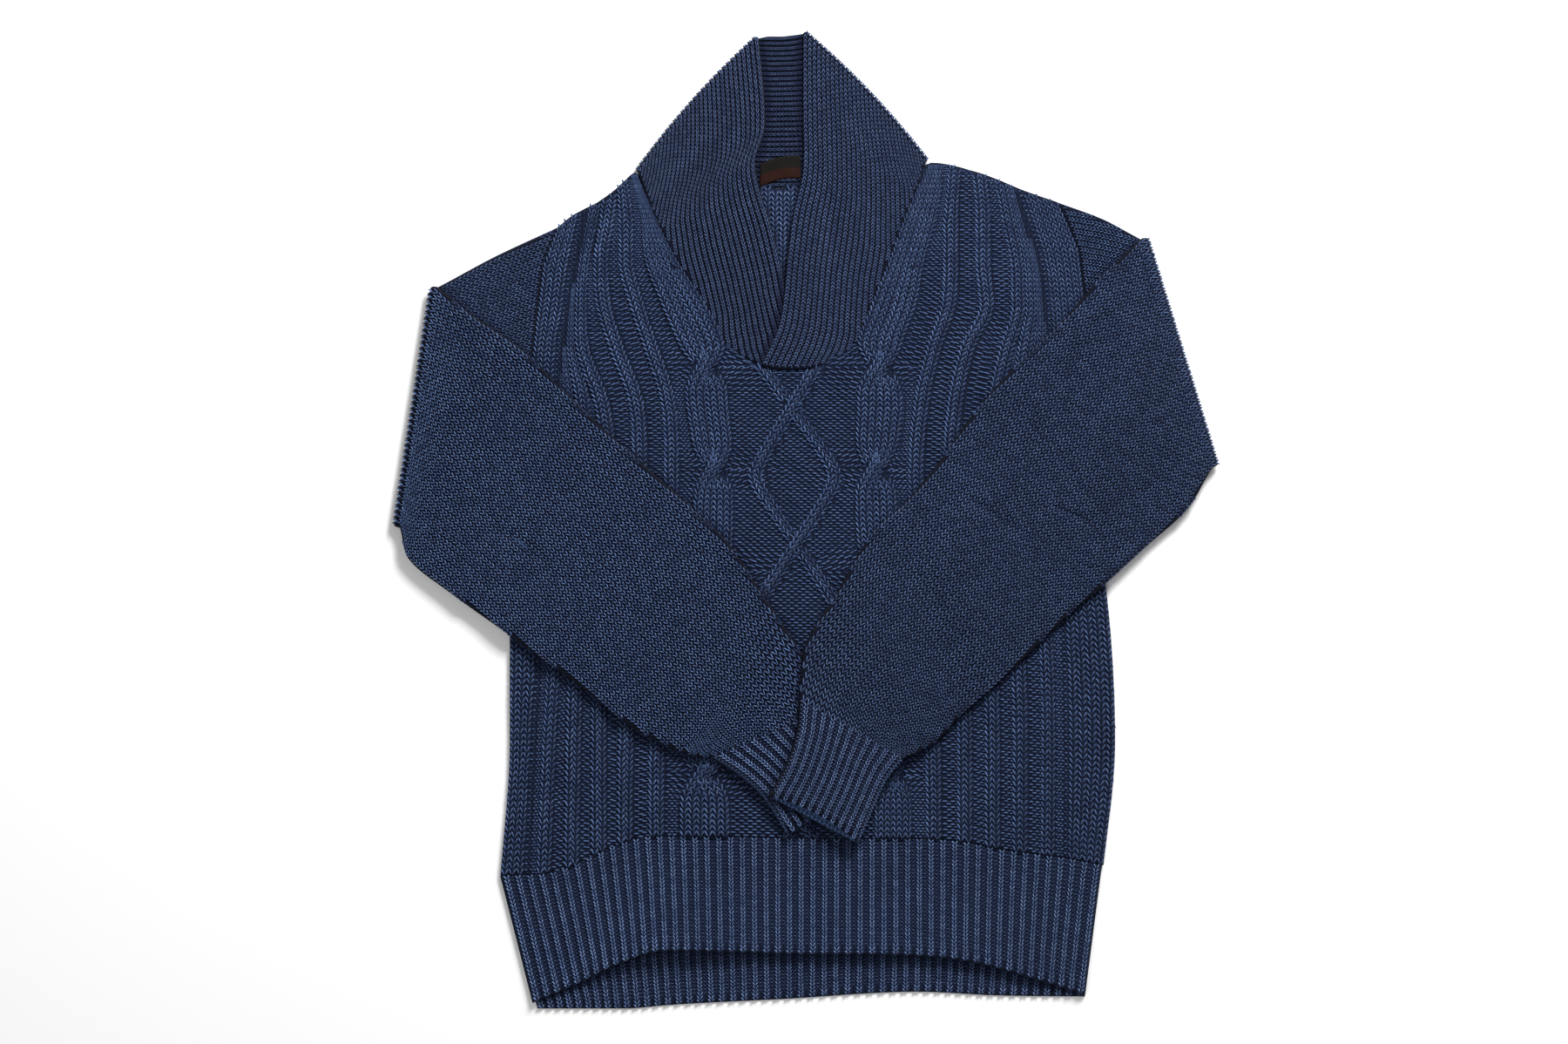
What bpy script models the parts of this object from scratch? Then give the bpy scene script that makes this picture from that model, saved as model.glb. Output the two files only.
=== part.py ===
"""Cable-knit V-neck sweater with a shawl collar, laid flat with both sleeves folded over its front.

The back lies on the table and the front lies on the back. Each sleeve is a flattened tube that runs
out from the armhole, turns over at a slanting fold and comes back across the front, the right one
on top of the left one. The collar is one ribbed band: its stand lies flat above the back, both of
its ends turn over at slanting folds and come down the neckline, and the right end laps the left.

Sizes are in millimetres and are scaled to metres where a mesh is made. X runs across the sweater,
Y up towards the collar and Z away from the table. The origin is on the table, under the middle of
the outline. Left and right are as seen from above.
"""

from math import cos, hypot, pi, sin

import bmesh
import bpy

MM = 0.001

# Cloth and seams
WALL = 2.6              # body knit, ladders between the ribs
SLEEVE_WALL = 2.4
COLLAR_WALL = 2.2
SEAM_GAP = 0.3          # between the edges of two pieces that are sewn together
LAY_GAP = 0.3           # between two layers that lie on each other
EDGE_ROUND = 1.3        # drop of the outer face at a rounded edge
EDGE_INSET = 4.0        # width of a rounded edge

# Relief of the front
RIB_HALF = 6.5          # half the foot of a two-column rib
RIB_RISE = 1.3
CROWDED_HALF = 0.48     # widest half foot of a rib, as a share of the way to its neighbour
SQUEEZED_RIBS = (0.22, 0.68)    # places of the two outer ribs between the trough and the third
LEAST_ROOM = 1.5
TROUGH_HALF = 3.0
TROUGH_DEPTH = 0.9
CABLE_RISE = 2.1
CABLE_PERIOD = 85.0     # from one crossing to the next
CABLE_CROSSING = 128.0  # height of the top crossing
CABLE_GROOVE = 0.35     # share of the rise lost between the strands where they lie side by side
CABLE_SHARES = (0.0, 0.13, 0.32, 0.5, 0.68, 0.87, 1.0)
DIAMOND_HALF = 33.0     # widest offset of the travelling lines
DIAMOND_PERIOD = 114.0  # from one crossing to the next
DIAMOND_CROSSING = 94.0
DIAMOND_STEP = DIAMOND_PERIOD / 4   # the rows of the front catch every turn of the lines
LOWER_ROWS = 14         # rows of the front from hem to the foot of the V
UPPER_ROWS = 6          # rows from there to the shoulders
BACK_LOWER_ROWS = 7
BACK_UPPER_ROWS = 3
V_LEVEL = 148.5         # height at which the front divides for the neck
UNDERARM = 35.0         # height of the underarm

# Ribbed bands
HEM_RIBS = 51
HEM_RIB_RISE = 0.9
CUFF_RIBS = 9
CUFF_RIB_RISE = 0.7
COLLAR_RIBS = 26
COLLAR_RIB_RISE = 0.45

# Sleeves
SLEEVE_HALF = 2.6       # half the thickness of the flattened tube
SLEEVE_FOLD = 3.1       # middle radius of the turn
UNDERARM_SHARE = 0.75   # a line along the sleeve between the armhole's lowest corner and the underarm
CUFF_HALF = 2.5
FOLD_STEPS = 5

# Collar
COLLAR_FOLD = 1.45
COLLAR_FOLD_STEPS = 4
COLLAR_BOW = 4.0        # outward bow of the two folds
COLLAR_TRIM = 3.6       # the folds start this far above the corners of the neck

LABEL_THICKNESS = 0.6

Z_FRONT = WALL + LAY_GAP

# Lines of the front, across the body at each height
BODY_COLUMNS = ("y", "left_edge", "left_trough", "left_rib3", "left_rib2", "left_rib1",
                "left_cable", "left_neck", "centre", "right_neck", "right_cable",
                "right_rib1", "right_rib2", "right_rib3", "right_trough", "right_edge")
BODY_LINES = (
    (301, -206, -179, -168, -160, -154, -148, -145, -19, 106, 117, 125, 145, 162, 171, 212),
    (253, -203, -188, -179, -165, -149, -136, -124, -19, 84, 110, 122, 149, 171, 188, 218),
    (217, -219, -195, -186, -170, -149, -133, -106, -18, 71, 100, 122, 149, 178, 199, 231),
    (180, -222, -200, -188, -168, -140, -119, -82, -17, 56, 93, 120, 152, 179, 204, 235),
    (144, -227, -206, -186, -157, -128, -105, -65, -15, 44, 82, 108, 136, 169, 206, 238),
    (100, -233, -208, -170, -141, -114, -99, -64, -11, 44, 82, 98, 126, 159, 207, 241),
    (42, -240, -214, -164, -138, -111, -92, -59, -8, 42, 77, 93, 122, 151, 209, 242),
    (-104, -246, -222, -170, -145, -119, -100, -62, -6, 50, 84, 103, 130, 155, 217, 257),
    (-184, -246, -227, -172, -149, -123, -104, -63, -5, 58, 88, 107, 134, 157, 219, 260),
    (-300, -254, -233, -172, -150, -124, -104, -63, -2, 59, 90, 108, 134, 157, 218, 249),
)

OUTLINE_COLUMNS = ("x", "y")
SHOULDERS = ((-206, 245), (-195, 254), (-166, 270), (-152, 282), (-143, 290),
             (106, 299), (148, 290), (186, 275), (212, 266))
BACK_NECK = ((-143, 290), (-81, 280), (-19, 278), (43, 282), (106, 299))
V_BASE = ((-65, 148), (-53, 138), (-36, 129), (-13, 126), (12, 129), (23, 135), (44, 149))
HEM_TOP = ((-254, -297), (-206, -293), (-170, -277), (-148, -268), (-126, -264), (27, -266),
           (129, -268), (165, -275), (217, -282), (249, -288))

# Armholes, from the shoulder to the underarm, as (y, x); their corners lie on rows of the front
LEFT_ARMHOLE = ((245, -206), (212.8, -218.5), (148.5, -226), (35, -240))
RIGHT_ARMHOLE = ((266, 212), (226.8, 229), (148.5, 238), (35, 243))
# Straight seam of the back hem, which the front hides, as (x, y)
BACK_SEAM = ((-254, -297), (249, -288))

# Shares of a hem band's height at which it has a row of points, from its seam down
HEM_ROWS = (0.0, 0.35, 0.7, 0.97, 1.0)

# Hem bands: each row is a place along the band
HEM_COLUMNS = ("top_x", "bottom_x", "bottom_y", "lift")
FRONT_HEM = (
    (-254, -227, -403, 0.5),
    (-206, -186, -385, 4.0),
    (-163, -151, -368, 8.0),
    (-119, -114, -358, 11.0),
    (-17, -17, -361, 6.0),
    (129, 128, -366, 6.0),
    (202, 195, -383, 4.0),
    (249, 235, -396, 0.5),
)
BACK_HEM = (
    (-254, -223, -408, 0.0),
    (-163, -150, -408, 0.0),
    (-119, -112, -405, 0.0),
    (-17, -17, -400, 0.0),
    (96, 94, -394, 0.0),
    (169, 160, -397, 0.0),
    (249, 235, -398, 0.0),
)

# Sleeves beyond the fold: a section at each row, from its upper edge to its lower edge
SECTION_COLUMNS = ("upper_x", "upper_y", "lower_x", "lower_y", "upper_z", "lower_z")
LEFT_SLEEVE = (
    (-279, 173, -330, -32, 9.0, 8.8),
    (-235, 142, -297, -59, 10.2, 9.4),
    (-192, 100, -255, -89, 10.9, 10.6),
    (-148, 59, -217, -116, 10.9, 10.9),
    (-104, 20, -177, -145, 10.9, 10.9),
    (-64, -18, -141, -174, 10.9, 10.9),
    (-31, -67, -101, -193, 10.9, 10.9),
    (1, -115, -90, -196, 10.9, 10.9),
    (25, -152, -77, -197, 11.0, 11.0),
)
LEFT_CUFF = (
    (25, -152, -77, -197, 11.1, 11.1),
    (38, -175, -53, -213, 11.1, 11.1),
    (49, -196, -34, -231, 11.1, 11.1),
    (58, -215, -14, -262, 11.1, 11.1),
)
RIGHT_SLEEVE = (
    (252, 208, 320, 10, 9.6, 8.8),
    (213, 164, 286, -21, 10.7, 9.4),
    (180, 133, 253, -51, 10.9, 10.6),
    (144, 93, 222, -77, 10.9, 10.9),
    (114, 51, 193, -105, 10.9, 10.9),
    (85, 16, 163, -134, 10.9, 10.9),
    (56, -11, 132, -161, 11.4, 10.9),
    (26, -62, 111, -183, 14.2, 11.6),
    (1, -104, 93, -194, 17.2, 14.6),
    (-4, -148, 82, -198, 17.8, 16.8),
)
RIGHT_CUFF = (
    (-4, -148, 82, -198, 18.0, 17.0),
    (-6, -173, 69, -215, 18.0, 17.8),
    (-15, -202, 58, -239, 18.0, 18.0),
    (-30, -229, 45, -269, 18.0, 18.0),
)
# Fold lines on the outline: upper end, lower end
LEFT_FOLD = ((-312, 196), (-343, -5))
RIGHT_FOLD = ((287, 237), (346, 46))
# Where a sleeve's tube is still on the table, half way between armhole and fold
LEFT_UPPER_ARM = ((-258, 221), (-292, 20))
RIGHT_UPPER_ARM = ((250, 252), (300, 42))

# Collar wings from the fold down: seam edge, free edge, lift of the lap and where it is reached.
# The last row of each wing is its end, sewn along the foot of the V.
WING_COLUMNS = ("seam_x", "seam_y", "free_x", "free_y", "lap", "lap_from")
LEFT_WING = (
    (-131, 266.6, -33, 330, 0.0, 1.0),
    (-125, 254.8, -41, 301, 0.0, 1.0),
    (-119, 243.0, -38, 279, 0.0, 1.0),
    (-107, 219.4, -28, 247, 0.0, 1.0),
    (-92, 195.8, -19, 210, 0.0, 1.0),
    (-78, 172.1, -14, 184, 0.0, 1.0),
    (-66, 148.5, -6, 158, 0.0, 1.0),
    (-36, 129.0, 0, 129, 0.0, 1.0),
)
RIGHT_WING = (
    (92, 273.9, -1, 340, 0.3, 0.8),
    (83, 248.8, -1, 293, 0.9, 0.8),
    (73, 223.8, -9, 256, 1.6, 0.8),
    (64, 198.7, -14, 218, 3.2, 0.9),
    (53, 173.6, -17, 187, 3.2, 0.8),
    (44, 148.5, -22, 160, 3.2, 0.6),
    (20, 134.0, -36, 129, 3.2, 0.28),
)
LEFT_COLLAR_FOLD = ((-143, 290), (-40, 405))
RIGHT_COLLAR_FOLD = ((106, 299), (1, 409))
STAND_COLUMNS = ("seam_x", "free_x", "free_y")
STAND = ((-81, -30, 405), (-19, -19, 405), (43, -9, 406))

# Neck label on the back's neck seam
LABEL_LEFT, LABEL_RIGHT = -37.0, -3.0
LABEL_BOTTOM_LEFT, LABEL_BOTTOM_RIGHT = 279.0, 286.0
LABEL_HEIGHT = 19.0
LABEL_ARCH = 2.5


def mix(a, b, share):
    return a + (b - a) * share


def ease(share):
    """Smooth step from 0 to 1."""
    share = min(max(share, 0.0), 1.0)
    return share * share * (3 - 2 * share)


def smooth(keys, values, at):
    """Value at a key, on a smooth curve through the given ones."""
    if keys[0] > keys[-1]:
        keys = keys[::-1]
        values = values[::-1]
    if at <= keys[0]:
        return values[0]
    if at >= keys[-1]:
        return values[-1]
    i = max(k for k in range(len(keys) - 1) if keys[k] <= at)
    span = keys[i + 1] - keys[i]
    rise = (values[i + 1] - values[i]) / span
    before = (values[i] - values[i - 1]) / (keys[i] - keys[i - 1]) if i > 0 else rise
    after_known = i + 2 < len(keys)
    after = (values[i + 2] - values[i + 1]) / (keys[i + 2] - keys[i + 1]) if after_known else rise
    start = (before + rise) / 2 if before * rise > 0 else 0.0
    end = (rise + after) / 2 if after * rise > 0 else 0.0
    t = (at - keys[i]) / span
    return ((2 * t**3 - 3 * t**2 + 1) * values[i] + (t**3 - 2 * t**2 + t) * span * start
            + (3 * t**2 - 2 * t**3) * values[i + 1] + (t**3 - t**2) * span * end)


def column(rows, names, name):
    return [row[names.index(name)] for row in rows]


def straight(rows, at):
    """Value at a key, on straight lines between (key, value) rows."""
    rows = sorted(rows)
    at = min(max(at, rows[0][0]), rows[-1][0])
    i = max(k for k in range(len(rows) - 1) if rows[k][0] <= at)
    (key, value), (next_key, next_value) = rows[i:i + 2]
    return mix(value, next_value, (at - key) / (next_key - key))


def body_line(name, y):
    if y > UNDERARM and name.endswith("edge"):
        return straight(LEFT_ARMHOLE if name.startswith("left") else RIGHT_ARMHOLE, y)
    return smooth(column(BODY_LINES, BODY_COLUMNS, "y"), column(BODY_LINES, BODY_COLUMNS, name), y)


def outline(rows, x):
    return smooth(column(rows, OUTLINE_COLUMNS, "x"), column(rows, OUTLINE_COLUMNS, "y"), x)


# ---------------------------------------------------------------------------------- walls

def knit(name, srgb):
    """Matt yarn of one colour."""
    material = bpy.data.materials.new(name)
    material.use_nodes = True
    shader = material.node_tree.nodes["Principled BSDF"]
    linear = [((value / 255 + 0.055) / 1.055) ** 2.4 for value in srgb]
    shader.inputs["Base Color"].default_value = (*linear, 1.0)
    shader.inputs["Roughness"].default_value = 0.9
    shader.inputs["Metallic"].default_value = 0.0
    return material


def add_object(name, bm, material):
    bmesh.ops.recalc_face_normals(bm, faces=bm.faces)
    mesh = bpy.data.meshes.new(name)
    bm.to_mesh(mesh)
    bm.free()
    mesh.materials.append(material)
    piece = bpy.data.objects.new(name, mesh)
    bpy.context.collection.objects.link(piece)
    return piece


def wall(name, material, outer, inner, columns, rows, plain=None, ring=False, keep=None):
    """Closed wall between outer(c, r) and inner(c, r).

    Away from its rims the inner face uses only the plain columns, so that fine relief can stand on
    a plain inside. keep(c, r) tells whether the cell right of column c and above row r has cloth.
    """
    bm = bmesh.new()
    cells = columns if ring else columns - 1
    plain = list(plain or range(columns))
    spans = list(zip(plain, plain[1:] + ([columns] if ring else [])))
    points = {}

    def present(c, r):
        inside = 0 <= r < rows - 1 and (ring or 0 <= c < columns - 1)
        return inside and (keep is None or keep(c % columns, r))

    def vertex(place, c, r):
        key = (place, c % columns, r)
        if key not in points:
            points[key] = bm.verts.new([value * MM for value in place(c % columns, r)])
        return points[key]

    def inner_edge(a, b, r, rim):
        """Points of the inner face from column a to column b, all of them along a rim."""
        return [vertex(inner, c, r) for c in (range(a, b + 1) if rim else (a, b))]

    for r in range(rows - 1):
        for c in range(cells):
            if present(c, r):
                corners = ((c, r), (c + 1, r), (c + 1, r + 1), (c, r + 1))
                bm.faces.new([vertex(outer, *corner) for corner in corners])
    for a, b in spans:
        for r in range(rows - 1):
            if present(a, r):
                low = inner_edge(a, b, r, not present(a, r - 1))
                high = inner_edge(a, b, r + 1, not present(a, r + 1))
                bm.faces.new(low + high[::-1])
    for c in range(0 if ring else -1, cells):
        for r in range(rows):
            if present(c, r) != present(c, r - 1):
                bm.faces.new([vertex(outer, c, r), vertex(outer, c + 1, r),
                              vertex(inner, c + 1, r), vertex(inner, c, r)])
            if present(c, r) != present(c + 1, r):
                bm.faces.new([vertex(outer, c + 1, r), vertex(outer, c + 1, r + 1),
                              vertex(inner, c + 1, r + 1), vertex(inner, c + 1, r)])
    return add_object(name, bm, material)


# ---------------------------------------------------------------------------------- body

def cable_relief(share, y):
    """Height of the cable, two strands that cross at every period; share runs over its width."""
    phase = (y - CABLE_CROSSING) * pi / CABLE_PERIOD
    dome = 1 - (2 * share - 1) ** 4
    groove = CABLE_GROOVE * (1 - abs(2 * share - 1)) * abs(sin(phase))
    return CABLE_RISE * (dome - groove)


def half_front(side, y):
    """Columns of one half of the front from its edge to the neck line: place and height.

    Two ribs beside the trough die out against the armhole, and every rib gets lower and narrower
    where its neighbours crowd it.
    """
    inward = 1 if side == "left" else -1
    edge = body_line(side + "_edge", y)
    trough = body_line(side + "_trough", y)
    rib3 = body_line(side + "_rib3", y)
    cable = body_line(side + "_cable", y)
    neck = body_line(side + "_neck", y)
    rounding = EDGE_ROUND if y < UNDERARM else 0.0
    ribs_start = trough + inward * TROUGH_HALF
    room = max(inward * (rib3 - ribs_start) - RIB_HALF, LEAST_ROOM)
    squeezed = [ribs_start + inward * room * share for share in SQUEEZED_RIBS]
    ribs = squeezed + [rib3, body_line(side + "_rib2", y), body_line(side + "_rib1", y)]
    row = [(edge, -rounding), (edge + inward * EDGE_INSET, 0.0),
           (trough - inward * TROUGH_HALF, 0.0), (trough, -TROUGH_DEPTH), (ribs_start, 0.0)]
    stops = [ribs_start] + ribs + [cable]
    for before, rib, after in zip(stops, stops[1:], stops[2:]):
        left_half = min(RIB_HALF, CROWDED_HALF * abs(rib - before))
        right_half = min(RIB_HALF, CROWDED_HALF * abs(after - rib))
        rise = RIB_RISE * min(left_half, right_half) / RIB_HALF
        row += [(rib - inward * left_half, 0.0), (rib - inward * left_half / 2, rise),
                (rib + inward * right_half / 2, rise), (rib + inward * right_half, 0.0)]
    for share in CABLE_SHARES:
        row.append((mix(cable, neck, share), cable_relief(share, y)))
    return row


def diamond_offset(y):
    turn = ((y - DIAMOND_CROSSING) % DIAMOND_PERIOD) / DIAMOND_PERIOD
    return max(DIAMOND_HALF * (1 - abs(2 * turn - 1)), RIB_HALF + 1)


def middle_front(y):
    """Columns between the two cables: the travelling lines of the diamonds and the centre."""
    centre = body_line("centre", y)
    offset = diamond_offset(y)
    profile = ((-1, 0.0), (-0.5, RIB_RISE), (0.5, RIB_RISE), (1, 0.0))
    left = [(centre - offset + share * RIB_HALF, rise) for share, rise in profile]
    right = [(centre + offset + share * RIB_HALF, rise) for share, rise in profile]
    return left + [(centre, 0.0)] + right


def front_row(y):
    return half_front("left", y) + middle_front(y) + half_front("right", y)[::-1]


HALF_COLUMNS = len(half_front("left", 0.0))
FRONT_COLUMNS = len(front_row(0.0))
FRONT_ROWS = LOWER_ROWS + UPPER_ROWS + 2


def front_place(c, r):
    """X, Y and relief of one point of the front."""
    middle = HALF_COLUMNS - 1 < c < FRONT_COLUMNS - HALF_COLUMNS
    y = V_LEVEL if r <= LOWER_ROWS else V_LEVEL + 100
    for _ in range(8):
        x = front_row(y)[c][0]
        foot = outline(HEM_TOP, x) + SEAM_GAP / 2
        fork = outline(V_BASE, x) if middle else V_LEVEL
        shoulder = outline(SHOULDERS, x)
        if r in (0, LOWER_ROWS):
            y = fork if r else foot
        elif r < LOWER_ROWS:
            y = DIAMOND_CROSSING - (LOWER_ROWS - 1 - r) * DIAMOND_STEP
        elif r < LOWER_ROWS + UPPER_ROWS:
            y = mix(fork, shoulder, (r - LOWER_ROWS) / UPPER_ROWS)
        else:
            y = shoulder - (EDGE_INSET if r == LOWER_ROWS + UPPER_ROWS else 0.0)
    rise = -EDGE_ROUND if r == FRONT_ROWS - 1 else front_row(y)[c][1]
    return x, y, rise


def front_panel(material):
    first_middle = HALF_COLUMNS - 1
    last_middle = FRONT_COLUMNS - HALF_COLUMNS
    half_plain = [0, 4, 8, 12, 16, 20, 24, first_middle]
    plain = half_plain + [FRONT_COLUMNS // 2] + [FRONT_COLUMNS - 1 - c for c in half_plain[::-1]]

    def outer(c, r):
        x, y, rise = front_place(c, r)
        return x, y, Z_FRONT + WALL + rise

    def inner(c, r):
        x, y, _ = front_place(c, r)
        return x, y, Z_FRONT

    def keep(c, r):
        return r < LOWER_ROWS or not first_middle <= c < last_middle

    return wall("front_panel", material, outer, inner, FRONT_COLUMNS, FRONT_ROWS, plain, keep=keep)


def back_row(y):
    """Columns of the back, with the height of its rounded lower edge at each."""
    left = body_line("left_edge", y)
    right = body_line("right_edge", y)
    neck = [(x, 0.0) for x, _ in BACK_NECK]
    rounding = EDGE_ROUND if y < UNDERARM else 0.0
    left_part = [(left, rounding), (left + EDGE_INSET, 0.0), (mix(left, neck[0][0], 0.5), 0.0)]
    right_part = [(mix(neck[-1][0], right, 0.5), 0.0), (right - EDGE_INSET, 0.0), (right, rounding)]
    return left_part + neck + right_part


def back_place(c, r):
    """X, Y and lower face of one point of the back."""
    y = V_LEVEL if r <= BACK_LOWER_ROWS else V_LEVEL + 100
    for _ in range(8):
        x = back_row(y)[c][0]
        on_neck = BACK_NECK[0][0] <= x <= BACK_NECK[-1][0]
        top = straight(BACK_NECK, x) if on_neck else outline(SHOULDERS, x)
        foot = straight(BACK_SEAM, x) + SEAM_GAP / 2
        if r <= BACK_LOWER_ROWS:
            y = mix(foot, V_LEVEL, r / BACK_LOWER_ROWS)
        else:
            y = mix(V_LEVEL, top, (r - BACK_LOWER_ROWS) / BACK_UPPER_ROWS)
    return x, y, back_row(y)[c][1]


def back_panel(material):
    def top_face(c, r):
        x, y, _ = back_place(c, r)
        return x, y, WALL

    def underside(c, r):
        x, y, rounding = back_place(c, r)
        return x, y, rounding

    rows = BACK_LOWER_ROWS + BACK_UPPER_ROWS + 1
    return wall("back_panel", material, top_face, underside, len(back_row(0.0)), rows)


# ---------------------------------------------------------------------------------- hem bands

def hem_place(rows, seam, share, down):
    """X, Y and lift of a hem band; share runs across it and down runs from its seam."""
    tops = column(rows, HEM_COLUMNS, "top_x")
    top_x = mix(tops[0], tops[-1], share)
    bottom_x = smooth(tops, column(rows, HEM_COLUMNS, "bottom_x"), top_x)
    bottom_y = smooth(tops, column(rows, HEM_COLUMNS, "bottom_y"), top_x)
    lift = smooth(tops, column(rows, HEM_COLUMNS, "lift"), top_x)
    top_y = seam(top_x) - SEAM_GAP / 2
    return mix(top_x, bottom_x, down), mix(top_y, bottom_y, down), lift * down * down


def hem_rib(c, r, columns):
    """Ridge height of a hem column, with the side edges and the bottom edge rounded."""
    if c in (0, columns - 1) or r == len(HEM_ROWS) - 1:
        return -EDGE_ROUND
    return HEM_RIB_RISE if c % 2 else 0.0


def front_hem(material):
    columns = 2 * HEM_RIBS + 1
    plain = range(0, columns, 6)

    def seam(x):
        return outline(HEM_TOP, x)

    def outer(c, r):
        x, y, lift = hem_place(FRONT_HEM, seam, c / (columns - 1), HEM_ROWS[r])
        return x, y, Z_FRONT + lift + WALL - HEM_RIB_RISE / 2 + hem_rib(c, r, columns)

    def inner(c, r):
        x, y, lift = hem_place(FRONT_HEM, seam, c / (columns - 1), HEM_ROWS[r])
        return x, y, Z_FRONT + lift

    return wall("front_hem_rib", material, outer, inner, columns, len(HEM_ROWS), plain)


def back_hem(material):
    columns = 2 * HEM_RIBS + 1
    plain = range(0, columns, 6)

    def seam(x):
        return straight(BACK_SEAM, x)

    def top_face(c, r):
        x, y, _ = hem_place(BACK_HEM, seam, c / (columns - 1), HEM_ROWS[r])
        edge = c in (0, columns - 1) or r == len(HEM_ROWS) - 1
        ridge = 0.0 if edge or c % 2 == 0 else HEM_RIB_RISE
        return x, y, WALL - HEM_RIB_RISE + ridge

    def underside(c, r):
        x, y, _ = hem_place(BACK_HEM, seam, c / (columns - 1), HEM_ROWS[r])
        return x, y, 0.0

    return wall("back_hem_rib", material, top_face, underside, columns, len(HEM_ROWS), plain)


# ---------------------------------------------------------------------------------- sleeves

def fold_frame(line, inset):
    """Ends of a fold's axis and the direction in which the cloth turns over."""
    (x0, y0), (x1, y1) = line
    length = hypot(x1 - x0, y1 - y0)
    side = 1 if x0 > 0 else -1
    across = side if y1 > y0 else -side
    out = (across * (y1 - y0) / length, -across * (x1 - x0) / length)
    ends = [(x - out[0] * inset, y - out[1] * inset) for x, y in line]
    return ends, out


def turned(ends, out, share, depth, angle, radius, axis_z):
    """Point of a folded layer: depth is its distance above the layer's middle before the fold."""
    reach = radius - depth
    x = mix(ends[0][0], ends[1][0], share) + out[0] * reach * sin(angle)
    y = mix(ends[0][1], ends[1][1], share) + out[1] * reach * sin(angle)
    return x, y, axis_z - reach * cos(angle)


def tube_section(width, half, wall_inset, between):
    """Flattened tube: distance from the upper edge and height, once round."""
    rim = [(wall_inset + d, h) for d, h in ((0.0, 0.0), (0.3 * half, 0.72 * half), (1.2 * half, half))]
    top = rim + [(width * share, half) for share in between]
    top += [(width - d, h) for d, h in rim[::-1]]
    return top + [(d, -h) for d, h in top[1:-1]][::-1]


def sleeve_stations(side):
    """Sections of a sleeve from the armhole to the cuff seam, each a function of (share, depth)."""
    fold = LEFT_FOLD if side == "left" else RIGHT_FOLD
    arm = LEFT_UPPER_ARM if side == "left" else RIGHT_UPPER_ARM
    rows = LEFT_SLEEVE if side == "left" else RIGHT_SLEEVE
    outward = -1 if side == "left" else 1
    ends, out = fold_frame(fold, SLEEVE_FOLD + SLEEVE_HALF)
    axis_z = SLEEVE_HALF + SLEEVE_FOLD
    knots = LEFT_ARMHOLE if side == "left" else RIGHT_ARMHOLE

    def armhole(share, depth):
        y = mix(knots[0][0], UNDERARM, share)
        return straight(knots, y) + outward * SEAM_GAP, y, SLEEVE_HALF + depth

    def flat(start, end):
        return lambda share, depth: (mix(start[0], end[0], share), mix(start[1], end[1], share),
                                     SLEEVE_HALF + depth)

    def bend(angle):
        return lambda share, depth: turned(ends, out, share, depth, angle, SLEEVE_FOLD, axis_z)

    width = hypot(ends[0][0] - ends[1][0], ends[0][1] - ends[1][1])
    arm_width = hypot(arm[0][0] - arm[1][0], arm[0][1] - arm[1][1])
    stations = [(armhole, knots[0][0] - UNDERARM), (flat(*arm), arm_width)]
    stations += [(bend(pi * k / FOLD_STEPS), width) for k in range(FOLD_STEPS + 1)]
    stations += [laid(row) for row in rows[:-1]]
    stations += [laid(shifted(rows[-1], rows[-2], -SEAM_GAP / 2))]
    return stations


def laid(row):
    """Section of a tube that lies turned over: its function of (share, depth), and its width."""
    upper_x, upper_y, lower_x, lower_y, upper_z, lower_z = row

    def place(share, depth):
        return (mix(upper_x, lower_x, share), mix(upper_y, lower_y, share),
                mix(upper_z, lower_z, share) - depth)

    return place, hypot(upper_x - lower_x, upper_y - lower_y)


def shifted(row, neighbour, distance):
    """Section moved along the sleeve, away from its neighbour."""
    dx = (row[0] + row[2] - neighbour[0] - neighbour[2]) / 2
    dy = (row[1] + row[3] - neighbour[1] - neighbour[3]) / 2
    length = hypot(dx, dy)
    dx, dy = dx / length * distance, dy / length * distance
    return (row[0] + dx, row[1] + dy, row[2] + dx, row[3] + dy, row[4], row[5])


def sleeve(side, material):
    stations = sleeve_stations(side)
    knots = LEFT_ARMHOLE if side == "left" else RIGHT_ARMHOLE
    drop = knots[0][0] - knots[-1][0]
    between = [(knots[0][0] - y) / drop for y, _ in knots[1:-1]] + [UNDERARM_SHARE]

    def outer(c, r):
        place, width = stations[r]
        distance, depth = tube_section(width, SLEEVE_HALF, 0.0, between)[c]
        return place(distance / width, depth)

    def inner(c, r):
        place, width = stations[r]
        half = SLEEVE_HALF - SLEEVE_WALL
        distance, depth = tube_section(width, half, SLEEVE_WALL, between)[c]
        return place(distance / width, depth)

    columns = len(tube_section(1.0, SLEEVE_HALF, 0.0, between))
    return wall("sleeve_" + side, material, outer, inner, columns, len(stations), ring=True)


def cuff(side, material):
    rows = LEFT_CUFF if side == "left" else RIGHT_CUFF
    seam = shifted(rows[0], rows[1], -SEAM_GAP / 2)
    stations = [laid(row) for row in (seam,) + rows[1:]]
    between = [(k + 0.5) / (2 * CUFF_RIBS) for k in range(1, 2 * CUFF_RIBS - 1)]

    def outer(c, r):
        place, width = stations[r]
        distance, depth = tube_section(width, CUFF_HALF, 0.0, between)[c]
        ridge = CUFF_RIB_RISE if c % 2 else 0.0
        flat = abs(depth) == CUFF_HALF
        return place(distance / width, depth + (ridge if depth > 0 else -ridge) * flat)

    def inner(c, r):
        place, width = stations[r]
        half = CUFF_HALF - SLEEVE_WALL
        distance, depth = tube_section(width, half, SLEEVE_WALL, between)[c]
        return place(distance / width, depth)

    columns = len(tube_section(1.0, CUFF_HALF, 0.0, between))
    plain = range(0, columns, 2)
    return wall("cuff_" + side, material, outer, inner, columns, len(stations), plain, ring=True)


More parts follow.
